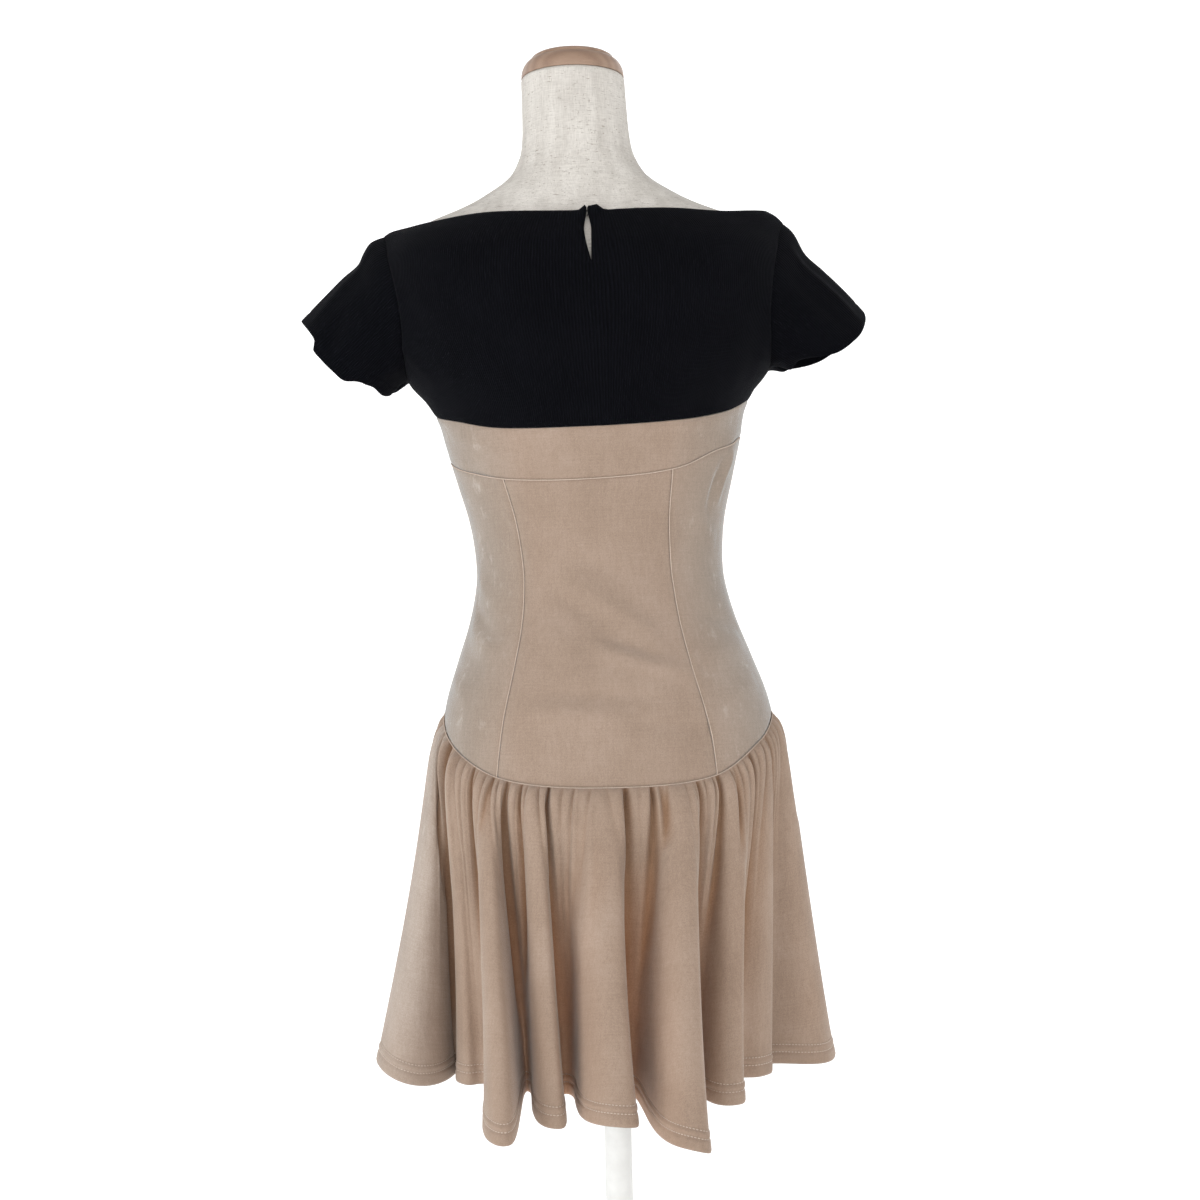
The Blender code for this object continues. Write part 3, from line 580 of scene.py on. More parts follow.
def skirt_surface(course, fall):
    """Points on the skirt. course counts folds from the left side; fall is 0 at the seam."""
    index = np.floor(course).astype(int)
    phase = (course - index - 0.5) * math.tau
    drift = np.clip(fall, 0.0, 1.0) ** 2 * (3.0 - 2.0 * np.clip(fall, 0.0, 1.0))
    high = [fold_column("start", index), None, fold_column("start", index + 1)]
    high[1] = (high[0] + high[2]) / 2.0
    hem = [fold_column("angle", index + step) for step in (-1, 0, 1)]
    hem = [(hem[0] + hem[1]) / 2.0, hem[1], (hem[1] + hem[2]) / 2.0]
    before, ridge, after = [top + (low - top) * drift for top, low in zip(high, hem)]
    width = np.where(phase < 0.0, ridge - before, after - ridge)
    angle = ridge + width * phase / math.pi
    turn = np.radians(angle)
    seam = cloth_point(angle, seam_height("drop", angle) - SEAM_GAP / 2.0)
    depth = np.where(np.cos(turn) > 0.0, HEM_ROOT_BACK, HEM_ROOT_FRONT)
    root_x = HEM_ROOT_HALF_WIDTH * np.sin(turn) + HEM_SHIFT
    root = np.stack([root_x, -depth * np.cos(turn), HEM_HEIGHT + 0.0 * turn], axis=-1)
    point = seam + (root - seam) * fall[..., None]
    risen = 1.0 - np.exp(-np.maximum(fall, 0.0) / PUFF_START)
    puff = SKIRT_PUFF * risen * (1.0 - PUFF_LOSS * fall)
    point[..., 0] += np.sin(turn) * puff
    point[..., 1] -= np.cos(turn) * puff
    heading = np.radians(ridge - FOLD_TURN * np.sin(2.0 * np.radians(ridge)))
    growth = np.maximum(fall, 0.0) ** FOLD_GROWTH
    fold = fold_shape(phase, index)
    full = fold ** np.where(index % len(FOLDS) == 0, LEFT_FOLD_FULLNESS, 1.0)
    ahead = fold_column("depth", index) * growth * fold
    beside = fold_column("swell", index) * np.sin(phase) + fold_column("skew", index)
    beside = beside * growth * full
    point[..., 0] += np.sin(heading) * ahead + np.cos(heading) * beside
    point[..., 1] += -np.cos(heading) * ahead + np.sin(heading) * beside
    hang = fold_column("dip", index) + fold_column("tilt", index) * (1.0 - np.cos(phase))
    point[..., 2] -= hang * growth * fold
    return point


def gather_relief(course, down, first, last, seed):
    """Small gathers under the seam, round between pinches that drift into the fold valleys."""
    rng = np.random.default_rng(seed)
    pinches = [float(first)]
    while pinches[-1] < last - 0.36:
        pinches.append(pinches[-1] + rng.uniform(0.12, 0.27))
    pinches = np.array([*pinches, (pinches[-1] + last) / 2.0, float(last)])
    widths = np.diff(pinches) * COURSE_WIDTH
    swell = 0.28 * widths * rng.uniform(0.6, 1.3, len(widths))
    swell_length = rng.uniform(0.025, 0.110, len(widths))
    bite = rng.uniform(0.0007, 0.0028, len(pinches))
    bite_length = rng.uniform(0.020, 0.110, len(pinches))
    pull = rng.uniform(0.25, 0.55, len(pinches))
    relief = np.zeros(np.shape(course))
    for row in range(course.shape[1]):
        low = down[:, row]
        sway = pull * min(1.0, float(low.mean()) / 0.09)
        lines = np.maximum.accumulate(pinches + (np.round(pinches) - pinches) * sway)
        place = np.interp(course[:, row], lines, np.arange(len(lines)))
        index = np.minimum(place.astype(int), len(widths) - 1)
        share = place - index
        round_top = (4.0 * share * (1.0 - share)) ** 0.75
        puffed = swell[index] * round_top * np.exp(-((low / swell_length[index]) ** 1.3))
        nearest = np.round(place).astype(int)
        beside = (place - nearest) * 0.0095
        bitten = bite[nearest] * hill(beside, 0.0011 + 0.02 * low)
        bitten = bitten * np.exp(-low / bite_length[nearest])
        relief[:, row] = puffed - bitten
    return relief


def long_crease_relief(course, down):
    """The skirt's main creases: sharp on one side, and widening on the way down."""
    relief = np.zeros(np.shape(course))
    for crease in SKIRT_CREASES:
        part = (down - crease.down_a) / (crease.down_b - crease.down_a)
        centre = crease.course_a + (crease.course_b - crease.course_a) * part
        taper = np.clip(1.0 - np.abs(1.15 * part - 0.15) ** 2.5, 0.0, 1.0)
        taper = np.where(part < 0.0, np.exp(-((part * 6.0) ** 2)), taper)
        beside = (course - centre) * COURSE_WIDTH
        side = np.where((beside < 0.0) == (crease.out < 0.0), 0.38, 1.8)
        spread = crease.width * (0.5 + 0.7 * np.clip(part, 0.0, 1.0)) * side
        relief = relief + crease.out * hill(beside, spread) * taper
    return relief


def ripple(course, down, seed, size):
    """Slow unevenness of hanging cloth."""
    rng = np.random.default_rng(seed)
    relief = np.zeros(np.shape(course))
    for _ in range(14):
        wave = rng.uniform(2.0, 9.0) * course + rng.uniform(-16.0, 16.0) * down
        relief = relief + np.sin(wave + rng.uniform(0.0, math.tau)) * rng.uniform(0.2, 1.0)
    return relief * size / 3.0


def hem_relief(left):
    """Turned-up hem: a double layer below the stitches, drawn in at each row of them."""
    relief = 0.0008 / (1.0 + np.exp((left - HEM_DEPTH - 0.001) / 0.0006))
    for row in STITCH_ROWS:
        relief = relief - 0.0013 * hill(left - row, 0.0011)
    return relief - 0.0006 * hill(left, 0.0008)


def valley_light_share(course):
    """Share of painted bounce light in the skirt's valleys: from 0 on a ridge to 1 in a deep
    valley. The valleys at the sides are shallow and open.
    """
    index = np.floor(course).astype(int)
    painted_valley_light = 1.0 - fold_shape((course - index - 0.5) * math.tau, index)
    nearest = np.round(course).astype(int)
    walls = np.minimum(fold_column("depth", nearest - 1), fold_column("depth", nearest)) / 0.09
    turn = np.radians((fold_column("angle", nearest - 1) + fold_column("angle", nearest)) / 2.0)
    return painted_valley_light**0.9 * np.clip(walls, 0.0, 1.0) * np.cos(turn) ** 2


def skirt_half(name, node, first, folds, columns, velour, thread, seed):
    """Back or front half of the skirt, from its first fold on, with its hem stitches."""
    fall = np.concatenate(
        [
            np.linspace(0.0, 0.02, 9)[:-1],
            np.linspace(0.02, 0.16, 22)[:-1],
            np.linspace(0.16, 0.90, 34)[:-1],
            np.linspace(0.90, 1.0, 19),
        ]
    )[::-1]
    gap = SEAM_GAP / 2.0 / 0.05
    courses = np.linspace(first + gap, first + folds - gap, columns + 1)
    course, fall = np.meshgrid(courses, fall, indexing="ij")
    plain = skirt_surface(course, fall)
    steps = np.linalg.norm(np.diff(plain, axis=1), axis=-1)
    left = np.concatenate([np.zeros((columns + 1, 1)), np.cumsum(steps, axis=1)], axis=1)
    down = left[:, -1:] - left
    normal = outward(lambda a, b: skirt_surface(a, -b), course, -fall, 0.008, 0.006)
    normal[..., 2] *= np.minimum(1.0, fall / 0.05)
    normal /= np.linalg.norm(normal, axis=-1, keepdims=True)
    lift = gather_relief(course, down, first, first + folds, seed)
    lift = (lift + long_crease_relief(course, down)) * (1.0 - np.exp(-down / 0.0022))
    lift = lift + ripple(course, down, seed + 1, 0.0010) * np.clip(down / 0.08, 0.0, 1.0)
    lift = lift + hem_relief(left)
    points = plain + normal * lift[..., None]
    grain = np.stack([course * 0.1, -down], axis=-1)
    shades = {
        # Painted bounce light: the deep valleys of the skirt are painted brighter and warmer.
        "painted_valley_light": valley_light_share(course) * np.clip(2.0 * (fall - 0.22), 0.0, 1.0),
        # Painted shade: the troughs of the skirt's creases and gathers are painted darker and
        # browner.
        "painted_crease_shade": np.clip(-lift / 0.0040, 0.0, 1.0) * np.clip((left - 0.03) / 0.03, 0.0, 1.0),
        # Painted sheen and light: the skirt's left side fold is tinted paler and cooler, with pale
        # pile marks on top.
        "sheen_and_brushed": hill(course - 0.60, 0.26) * (1.0 - 0.6 * np.clip(down / 0.30, 0.0, 1.0) ** 3),
    }
    shape = grid_sheet(points, grain, shades=shades)
    made = thick_cloth(piece(name, shape, velour, "velour", node), VELOUR_WALL)
    stitches = hem_stitches(name + "_stitches", points, normal, left, thread)
    return made


def stitch_seats(points, normal, left, row):
    """Placing matrices of the stitches along one row, each laid along the cloth."""
    line, facing = [], []
    for column in range(points.shape[0]):
        place = np.interp(row, left[column], np.arange(points.shape[1]))
        low = int(place)
        below, above = points[column, low : low + 2]
        line.append(below + (above - below) * (place - low))
        facing.append(normal[column, low])
    run = np.concatenate([[0.0], np.cumsum(np.linalg.norm(np.diff(line, axis=0), axis=1))])
    count = int(run[-1] / STITCH_LENGTH)
    seats = []
    for middle in (np.arange(count) + 0.5) * run[-1] / count:
        index = int(np.searchsorted(run, middle)) - 1
        share = (middle - run[index]) / (run[index + 1] - run[index])
        along = Vector(line[index + 1] - line[index])
        centre = Vector(line[index]) + along * share
        along.normalize()
        side = Vector(facing[index]).cross(along).normalized()
        out = along.cross(side)
        turn = Matrix((along, side, out)).transposed().to_4x4()
        size = Matrix.Diagonal((*STITCH_SIZE, 1.0))
        seats.append(Matrix.Translation(centre + out * 0.00018) @ turn @ size)
    return seats


def hem_stitches(name, points, normal, left, thread):
    """Two rows of short raised stitches. One stitch is doubled until there are enough of them."""
    seats = [seat for row in STITCH_ROWS for seat in stitch_seats(points, normal, left, row)]
    shape = bmesh.new()
    bmesh.ops.create_uvsphere(shape, u_segments=6, v_segments=3, radius=1.0)
    made, apart = 1, 3.0
    while made < len(seats):
        whole = shape.verts[:] + shape.edges[:] + shape.faces[:]
        copied = bmesh.ops.duplicate(shape, geom=whole)["geom"]
        fresh = [item for item in copied if isinstance(item, bmesh.types.BMVert)]
        bmesh.ops.translate(shape, verts=fresh, vec=(apart * made, 0.0, 0.0))
        made *= 2
    spare = []
    for vertex in shape.verts:
        number = round(vertex.co.x / apart)
        if number < len(seats):
            vertex.co = seats[number] @ (vertex.co - Vector((apart * number, 0.0, 0.0)))
        else:
            spare.append(vertex)
    bmesh.ops.delete(shape, geom=spare, context="VERTS")
    return piece(name, shape, thread, "velour")


# Yoke and sleeves

ARMHOLE_MIDDLE = 0.8935
ARMHOLE_HALF = 0.0595
ARMHOLE_SPREAD = 24.0
CROWN_OUT = 0.6
CROWN_UP = 0.8
KEYHOLE_BOTTOM = 0.9135

# Slit in the back yoke: how far its centre lies from the middle line, and half its width
Slit = namedtuple("Slit", "height centre half_width")
KEYHOLE = table(
    Slit,
    (KEYHOLE_BOTTOM, 0.0024, 0.0005),
    (0.9180, 0.0020, 0.0012),
    (0.9270, 0.0009, 0.0030),
    (0.9370, -0.0001, 0.0049),
    (0.9460, -0.0004, 0.0058),
    (0.9530, -0.0002, 0.0046),
    (0.9590, 0.0000, 0.0024),
    (0.9615, 0.0001, 0.0011),
    (0.9630, 0.0001, 0.0013),
    (0.9655, 0.0001, 0.0036),
    (0.9700, 0.0001, 0.0050),
)
KEYHOLE_X = -0.0052

# A sleeve's hem runs from the tip to the armpit. At each share of that way it hangs below the
# straight line between them, by one amount behind and another in front.
Hang = namedtuple("Hang", "share behind ahead")
LEFT_HANG = table(
    Hang,
    (0.000, 0.0000, 0.0000),
    (0.194, 0.0077, 0.0060),
    (0.259, 0.0125, 0.0090),
    (0.273, 0.0184, 0.0094),
    (0.379, 0.0233, 0.0130),
    (0.526, 0.0277, 0.0170),
    (0.640, 0.0298, 0.0200),
    (0.738, 0.0245, 0.0185),
    (0.855, 0.0218, 0.0165),
    (0.985, 0.0205, 0.0130),
    (1.000, 0.0000, 0.0000),
)
RIGHT_HANG = table(
    Hang,
    (0.000, 0.0000, 0.0000),
    (0.054, 0.0075, 0.0050),
    (0.178, 0.0167, 0.0110),
    (0.304, 0.0208, 0.0150),
    (0.471, 0.0230, 0.0170),
    (0.600, 0.0205, 0.0160),
    (0.739, 0.0148, 0.0130),
    (0.841, 0.0118, 0.0105),
    (0.931, 0.0145, 0.0095),
    (1.000, 0.0000, 0.0000),
)
# Rise of a sleeve's upper line above the straight way from the armhole to the tip
Crown = namedtuple("Crown", "reach rise")
LEFT_CROWN = table(
    Crown,
    (0.0, 0.0),
    (0.12, 0.0050),
    (0.22, 0.0030),
    (0.32, -0.0010),
    (0.5, 0.0004),
    (1.0, 0.0),
)
RIGHT_CROWN = table(
    Crown,
    (0.0, 0.0),
    (0.12, 0.0010),
    (0.30, -0.0040),
    (0.5, -0.0020),
    (0.75, 0.0),
    (1.0, 0.0),
)

Sleeve = namedtuple("Sleeve", "side tip_x tip_z armpit_x armpit_z half_depth hang crown")
LEFT_SLEEVE = Sleeve(-1, -0.2740, 0.8850, -0.1815, 0.8300, 0.047, LEFT_HANG, LEFT_CROWN)
RIGHT_SLEEVE = Sleeve(1, 0.2430, 0.8815, 0.1585, 0.8370, 0.047, RIGHT_HANG, RIGHT_CROWN)


def yoke_levels(angle, steps):
    """Heights of the yoke's rows at an angle: below the armhole, along it, then above it."""
    low = seam_height("yoke", angle) + SEAM_GAP
    high = seam_height("neckline", angle)
    under = ARMHOLE_MIDDLE - ARMHOLE_HALF
    over = ARMHOLE_MIDDLE + ARMHOLE_HALF
    rows = [low + (under - low) * share for share in seam_shares(0.05, 14)[:-1]]
    for step in range(steps + 1):
        rows.append(ARMHOLE_MIDDLE - ARMHOLE_HALF * math.cos(math.pi * step / steps) + 0.0 * angle)
    rows += [over + (high - over) * share for share in np.linspace(0.0, 1.0, 7)[1:]]
    return np.stack(rows, axis=-1)


def yoke(name, node, middle, knit):
    """Half of the yoke, cut along both armholes. The back half has the keyhole slit."""
    side_columns = 66
    shares = np.linspace(0.0, 1.0, side_columns + 1)
    shares = np.concatenate([-shares[::-1], shares])
    edge = yoke_levels(np.array([middle + 90.0]), 56)[0]
    reach = np.clip((edge - ARMHOLE_MIDDLE) / ARMHOLE_HALF, -1.0, 1.0)
    half = 90.0 - ARMHOLE_SPREAD * np.sqrt(1.0 - reach**2) - math.degrees(SEAM_GAP / 2.0 / 0.16)
    angle = middle + shares[:, None] * half[None, :]
    rows = range(len(edge))
    height = np.stack([yoke_levels(angle[:, row], 56)[:, row] for row in rows], axis=-1)
    to_arm = (1.0 - np.abs(shares))[:, None] * np.radians(half)[None, :] * CHEST_RADIUS
    at_arm = np.where(np.abs(reach) < 1.0, 1.0, 0.35)[None, :]
    lift = crease_relief(KNIT_CREASES, angle, height)
    lift = lift + seam_roll(to_arm, 0.0003) * at_arm
    lift = lift + seam_roll(height - height[:, :1], 0.0005)
    lift = lift - 0.0006 * hill(height[:, -1:] - height, 0.0016)
    points = cloth_point(angle, height, lift)
    open_cells = np.zeros((len(shares) - 1, len(edge) - 1), dtype=bool)
    shifted = np.zeros(np.shape(angle))
    if middle == 0.0:
        shifted = slit_edges(points, height, shares)
        open_cells[side_columns] = height[side_columns, :-1] > KEYHOLE_BOTTOM
    grain = np.stack([np.radians(angle) * CHEST_RADIUS + shifted, height], axis=-1)
    shape = grid_sheet(points, grain, open_cells)
    bmesh.ops.remove_doubles(shape, verts=shape.verts, dist=WELD)
    made = thick_cloth(piece(name, shape, knit, "rib_knit", node), KNIT_WALL)
    return points[side_columns : side_columns + 2, height[side_columns] > KEYHOLE_BOTTOM]


def slit_edges(points, height, shares):
    """Draws the middle columns apart to the keyhole's edges, and lifts the neckline's tips."""
    middle = len(shares) // 2
    side = np.where(np.arange(len(shares)) < middle, -1.0, 1.0)[:, None]
    near = hill(points[..., 0] - KEYHOLE_X, 0.014)
    above = height > KEYHOLE_BOTTOM
    half_width = np.where(above, curve(KEYHOLE, "half_width", height), 0.00006)
    centre = KEYHOLE_X + curve(KEYHOLE, "centre", height)
    shift = centre[middle] - (points[middle - 1, :, 0] + points[middle, :, 0]) / 2.0
    sideways = near * (shift[None, :] + side * half_width)
    points[..., 0] += sideways
    beside = points[..., 0] - centre
    at_top = np.clip((height - 0.957) / 0.008, 0.0, 1.0)
    points[..., 2] += 0.0050 * hill(np.abs(beside) - 0.0046, 0.0042) * at_top
    points[..., 1] -= 0.0009 * hill(beside, 0.004) * above
    return sideways


def keyhole_binding(slit, binding):
    """Narrow rolled edge on both sides of the keyhole, meeting at its lower end."""
    left, right = slit
    path = np.concatenate([left[::-1], right])
    push = np.array([0.0, 0.0004, 0.0])
    piece("keyhole_binding", sweep(path + push, 0.0006, 8), binding, "rib_knit")


def neck_hook(metal):
    """Small wire hook, closing the neckline above the keyhole."""
    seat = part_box("neck_hook")
    middle = (seat[0] + seat[1]) / 2.0
    reach = 0.0021
    path = []
    for step in range(17):
        turn = math.radians(-110.0 + 220.0 * step / 16)
        side, rise = reach * math.sin(turn), 0.0010 * math.cos(turn)
        path.append((middle.x + side, middle.y - 0.0012, middle.z + rise))
    path = [(middle.x - 0.0026, middle.y - 0.0004, middle.z - 0.0008), *path]
    path.append((middle.x + 0.0026, middle.y - 0.0004, middle.z - 0.0008))
    piece("hook_wire", sweep(path, 0.00042, 8), metal, "hook", "neck_hook")


def armhole_point(side, turn, inset, lift=0.0):
    """Points round an armhole from its top, going back first. inset draws them to its middle."""
    height = ARMHOLE_MIDDLE + (ARMHOLE_HALF - inset) * np.cos(turn)
    spread = ARMHOLE_SPREAD - math.degrees(inset / 0.18)
    return cloth_point(side * (90.0 - spread * np.sin(turn)), height, lift + 0.0 * turn)


def armhole_seam(name, side, edge):
    """Rolled edge of the seam allowance all round an armhole, just under both cloths."""
    turns = np.linspace(-math.pi, math.pi, 145)
    path = armhole_point(side, turns, SEAM_GAP / 2.0, -0.0009)
    piece(name, sweep(path, 0.0008, 6), edge, "rib_knit")


def sleeve_hem_point(cut, turn):
    """Points round a sleeve's hem, from its tip past the armpit and back."""
    tip = np.array([cut.tip_x, 0.0, cut.tip_z])
    armpit = np.array([cut.armpit_x, 0.0, cut.armpit_z])
    chord = armpit - tip
    below = np.array([cut.side * chord[2], 0.0, -cut.side * chord[0]])
    below *= -np.sign(below[2]) / np.linalg.norm(below)
    share = 0.5 - 0.5 * np.cos(turn)
    behind = curve(cut.hang, "behind", share, "share")
    hang = np.where(np.sin(turn) > 0.0, behind, curve(cut.hang, "ahead", share, "share"))
    point = tip + chord * share[..., None]
    point[..., 1] -= cut.half_depth * np.sin(turn)
    return point + below * hang[..., None]


def sleeve_surface(cut, turn, reach):
    """Points on a sleeve. reach is 0 at the armhole and 1 at the hem."""
    start = armhole_point(cut.side, turn, SEAM_GAP)
    end = sleeve_hem_point(cut, turn)
    crown = curve(cut.crown, "rise", reach, "reach") * np.maximum(0.0, np.cos(turn)) ** 1.5
    point = start + (end - start) * reach[..., None]
    point[..., 0] += cut.side * CROWN_OUT * crown
    point[..., 2] += CROWN_UP * crown
    return point


def sleeve(name, node, cut, creases, knit):
    """Short set-in sleeve, all round the arm's hollow and open at both ends."""
    turns = np.linspace(0.0, math.tau, 181)
    reaches = seam_shares(SLEEVE_LENGTH, 40)
    turn, reach = np.meshgrid(turns, reaches, indexing="ij")
    plain = sleeve_surface(cut, turn, reach)
    normal = outward(lambda a, b: sleeve_surface(cut, a, b), turn, reach, 0.02, 0.01) * cut.side
    length = np.linalg.norm(plain[:, -1] - plain[:, 0], axis=-1)[:, None]
    lift = crease_relief(creases, np.degrees(turn), reach * SLEEVE_LENGTH, 0.055)
    lift = lift * np.minimum(1.0, 4.0 * reach) + seam_roll(reach * length, 0.0003)
    from_hem = (1.0 - reach) * length
    lift = lift - 0.0004 * hill(from_hem - 0.012, 0.0010) - 0.0005 * hill(from_hem, 0.0010)
    points = plain + normal * lift[..., None]
    grain = np.stack([turn * CUFF_RADIUS, reach * SLEEVE_LENGTH], axis=-1)
    shape = grid_sheet(points, grain)
    bmesh.ops.remove_doubles(shape, verts=shape.verts, dist=WELD)
    if cut.side < 0:
        bmesh.ops.reverse_faces(shape, faces=shape.faces)
    made = thick_cloth(piece(name, shape, knit, "rib_knit", node), KNIT_WALL)


LEFT_SLEEVE_CREASES = table(
    Crease,
    (20.0, 0.00, 44.0, 0.09, 0.007, 0.0016),
    (62.0, 0.05, 78.0, 0.09, 0.008, -0.0022),
    (110.0, 0.00, 96.0, 0.09, 0.010, -0.0020),
    (142.0, 0.00, 128.0, 0.09, 0.008, 0.0016),
    (222.0, 0.00, 236.0, 0.09, 0.010, -0.0018),
    (290.0, 0.00, 300.0, 0.09, 0.009, 0.0014),
)
RIGHT_SLEEVE_CREASES = table(
    Crease,
    (34.0, 0.00, 40.0, 0.09, 0.006, 0.0020),
    (58.0, 0.00, 62.0, 0.09, 0.008, -0.0016),
    (118.0, 0.00, 100.0, 0.09, 0.011, -0.0022),
    (146.0, 0.00, 132.0, 0.09, 0.008, 0.0014),
    (226.0, 0.00, 240.0, 0.09, 0.010, -0.0018),
    (296.0, 0.00, 304.0, 0.09, 0.009, 0.0014),
)


# Dress form and stand


def form_torso(linen):
    """Linen-covered torso, with a fine seam down the neck's back and round the neck's base."""
    heights = np.concatenate(
        [
            np.linspace(TORSO_BOTTOM, 0.93, 60)[:-1],
            np.linspace(0.93, NECK_TOP, 70),
        ]
    )
    turns = np.linspace(-180.0, 180.0, 193)
    angle, height = np.meshgrid(turns, heights, indexing="ij")
    normal = outward(torso_point, angle, height, 0.5, 0.0005)
    base = 1.010 + 0.010 * np.cos(np.radians(angle))
    lift = -0.0003 * hill(angle * 0.0009, 0.0007) * (height > 0.9)
    lift = lift - 0.0003 * hill(height - base, 0.0008)
    lift = lift - 0.0010 * hill(height - NECK_TOP, 0.0012)
    points = torso_point(angle, height) + normal * lift[..., None]
    grain = np.stack([np.radians(angle) * 0.06, height], axis=-1)
    shape = grid_sheet(points, grain)
    bmesh.ops.remove_doubles(shape, verts=shape.verts, dist=WELD)
    rims = [edge for edge in shape.edges if edge.is_boundary]
    bmesh.ops.edgeloop_fill(shape, edges=rims)
    bmesh.ops.recalc_face_normals(shape, faces=shape.faces)
    piece("torso_linen", shape, linen, "linen", "form_torso")


def spun(profile, segments, weld=WELD):
    """Shape turned about the upright axis from (radius, height) points."""
    shape = bmesh.new()
    points = [shape.verts.new((radius, 0.0, height)) for radius, height in profile]
    edges = [shape.edges.new(pair) for pair in zip(points, points[1:])]
    bmesh.ops.spin(
        shape,
        geom=points + edges,
        cent=(0.0, 0.0, 0.0),
        axis=(0.0, 0.0, 1.0),
        angle=math.tau,
        steps=segments,
        use_merge=True,
    )
    bmesh.ops.remove_doubles(shape, verts=shape.verts, dist=weld)
    return shape


def turned(name, node, profile, centre, material, slot, segments=128):
    """Turned piece with its edges rounded by a fine bevel."""
    shape = spun(profile, segments)
    rims = [edge for edge in shape.edges if edge.is_boundary]
    if rims:
        bmesh.ops.edgeloop_fill(shape, edges=rims)
    bmesh.ops.recalc_face_normals(shape, faces=shape.faces)
    bmesh.ops.translate(shape, verts=shape.verts, vec=centre)
    made = piece(name, shape, material, slot, node)
    made.data.set_sharp_from_angle(angle=math.radians(50.0))
    bevel = made.modifiers.new("Edge", "BEVEL")
    bevel.width = 0.0006
    bevel.segments = 3
    bevel.limit_method = "ANGLE"
    bevel.angle_limit = math.radians(25.0)
    return made


# Radius and height of the turned cap from its rim up, with a fine step near its top
CAP_PROFILE = (
    (0.0472, 0.0003),
    (0.0470, 0.0040),
    (0.0462, 0.0075),
    (0.0447, 0.0108),
    (0.0428, 0.0135),
    (0.0405, 0.0155),
    (0.0386, 0.0163),
    (0.0381, 0.0172),
    (0.0376, 0.0190),
    (0.0345, 0.0208),
    (0.0270, 0.0230),
    (0.0160, 0.0243),
    (0.0, 0.0248),
)
PLATE_PROFILE = ((0.150, 0.0), (0.150, 0.0085), (0.1485, BASE_THICK), (0.0, BASE_THICK))


def stand(paint):
    top = TORSO_BOTTOM - SEAM_GAP
    turned("foot_plate", "stand_base", PLATE_PROFILE, (0.0, 0.0, 0.0), paint, "paint")
    pole = (
        (0.0, BASE_THICK + SEAM_GAP),
        (0.0125, BASE_THICK + SEAM_GAP),
        (0.0125, top - 0.006),
        (0.040, top - 0.006),
        (0.040, top),
        (0.0, top),
    )
    turned("pole", "stand_pole", pole, (0.0, 0.0, 0.0), paint, "paint", 64)


# Materials


def node_tree_of(name):
    material = bpy.data.materials.new(name)
    material.use_nodes = True
    return material, material.node_tree, material.node_tree.nodes["Principled BSDF"]


def finish_sockets(shader, **values):
    """Sets the shader's own sockets. A name's underscores stand for spaces."""
    for name, value in values.items():
        shader.inputs[name.replace("_", " ")].default_value = value


def add(tree, kind, **settings):
    """New node with its settings."""
    node = tree.nodes.new(kind)
    for key, value in settings.items():
        setattr(node, key, value)
    return node


def maths(tree, operation, first, second=None, third=None):
    node = add(tree, "ShaderNodeMath", operation=operation)
    for index, value in enumerate((first, second, third)):
        if value is None:
            continue
        if isinstance(value, (int, float)):
            node.inputs[index].default_value = value
        else:
            tree.links.new(value, node.inputs[index])
    return node.outputs[0]


def stretched(tree, vector, size):
    """Coordinates multiplied along each axis."""
    node = add(tree, "ShaderNodeVectorMath", operation="MULTIPLY")
    tree.links.new(vector, node.inputs[0])
    node.inputs[1].default_value = size
    return node.outputs[0]


def noise(tree, vector, scale, detail=2.0, roughness=0.5):
    node = add(tree, "ShaderNodeTexNoise")
    tree.links.new(vector, node.inputs["Vector"])
    if isinstance(scale, float):
        node.inputs["Scale"].default_value = scale
    else:
        tree.links.new(scale, node.inputs["Scale"])
    node.inputs["Detail"].default_value = detail
    node.inputs["Roughness"].default_value = roughness
    return node.outputs["Fac"]


def ramp(tree, value, stops):
    """Colour ramp from (place, colour) stops."""
    node = add(tree, "ShaderNodeValToRGB")
    elements = node.color_ramp.elements
    while len(elements) < len(stops):
        elements.new(0.5)
    for element, (place, colour) in zip(elements, stops):
        element.position = place
        element.color = (*colour, 1.0)
    tree.links.new(value, node.inputs["Fac"])
    return node.outputs["Color"]


def mixed(tree, factor, first, second, kind="MIX"):
    node = add(tree, "ShaderNodeMix", data_type="RGBA", blend_type=kind)
    for index, value in ((0, factor), (6, first), (7, second)):
        socket = node.inputs[index]
        if isinstance(value, tuple):
            socket.default_value = (*value, 1.0)
        elif isinstance(value, float):
            socket.default_value = value
        else:
            tree.links.new(value, socket)
    return node.outputs[2]


def bump(tree, height, distance, strength=1.0, after=None):
    node = add(tree, "ShaderNodeBump")
    node.inputs["Strength"].default_value = strength
    node.inputs["Distance"].default_value = distance
    tree.links.new(height, node.inputs["Height"])
    if after is not None:
        tree.links.new(after, node.inputs["Normal"])
    return node.outputs["Normal"]


def grain_map(tree):
    return add(tree, "ShaderNodeUVMap", uv_map="grain").outputs["UV"]


def object_place(tree):
    return add(tree, "ShaderNodeTexCoord").outputs["Object"]


def value_group(name, vectors, values, outputs):
    """Empty shader group with named vector inputs, named value inputs and named value outputs."""
    group = bpy.data.node_groups.new(name, "ShaderNodeTree")
    for label in vectors:
        group.interface.new_socket(label, in_out="INPUT", socket_type="NodeSocketVector")
    for label in values:
        group.interface.new_socket(label, in_out="INPUT", socket_type="NodeSocketFloat")
    for label in outputs:
        group.interface.new_socket(label, in_out="OUTPUT", socket_type="NodeSocketFloat")
    start = group.nodes.new("NodeGroupInput")
    end = group.nodes.new("NodeGroupOutput")
    return group, start.outputs, end.inputs


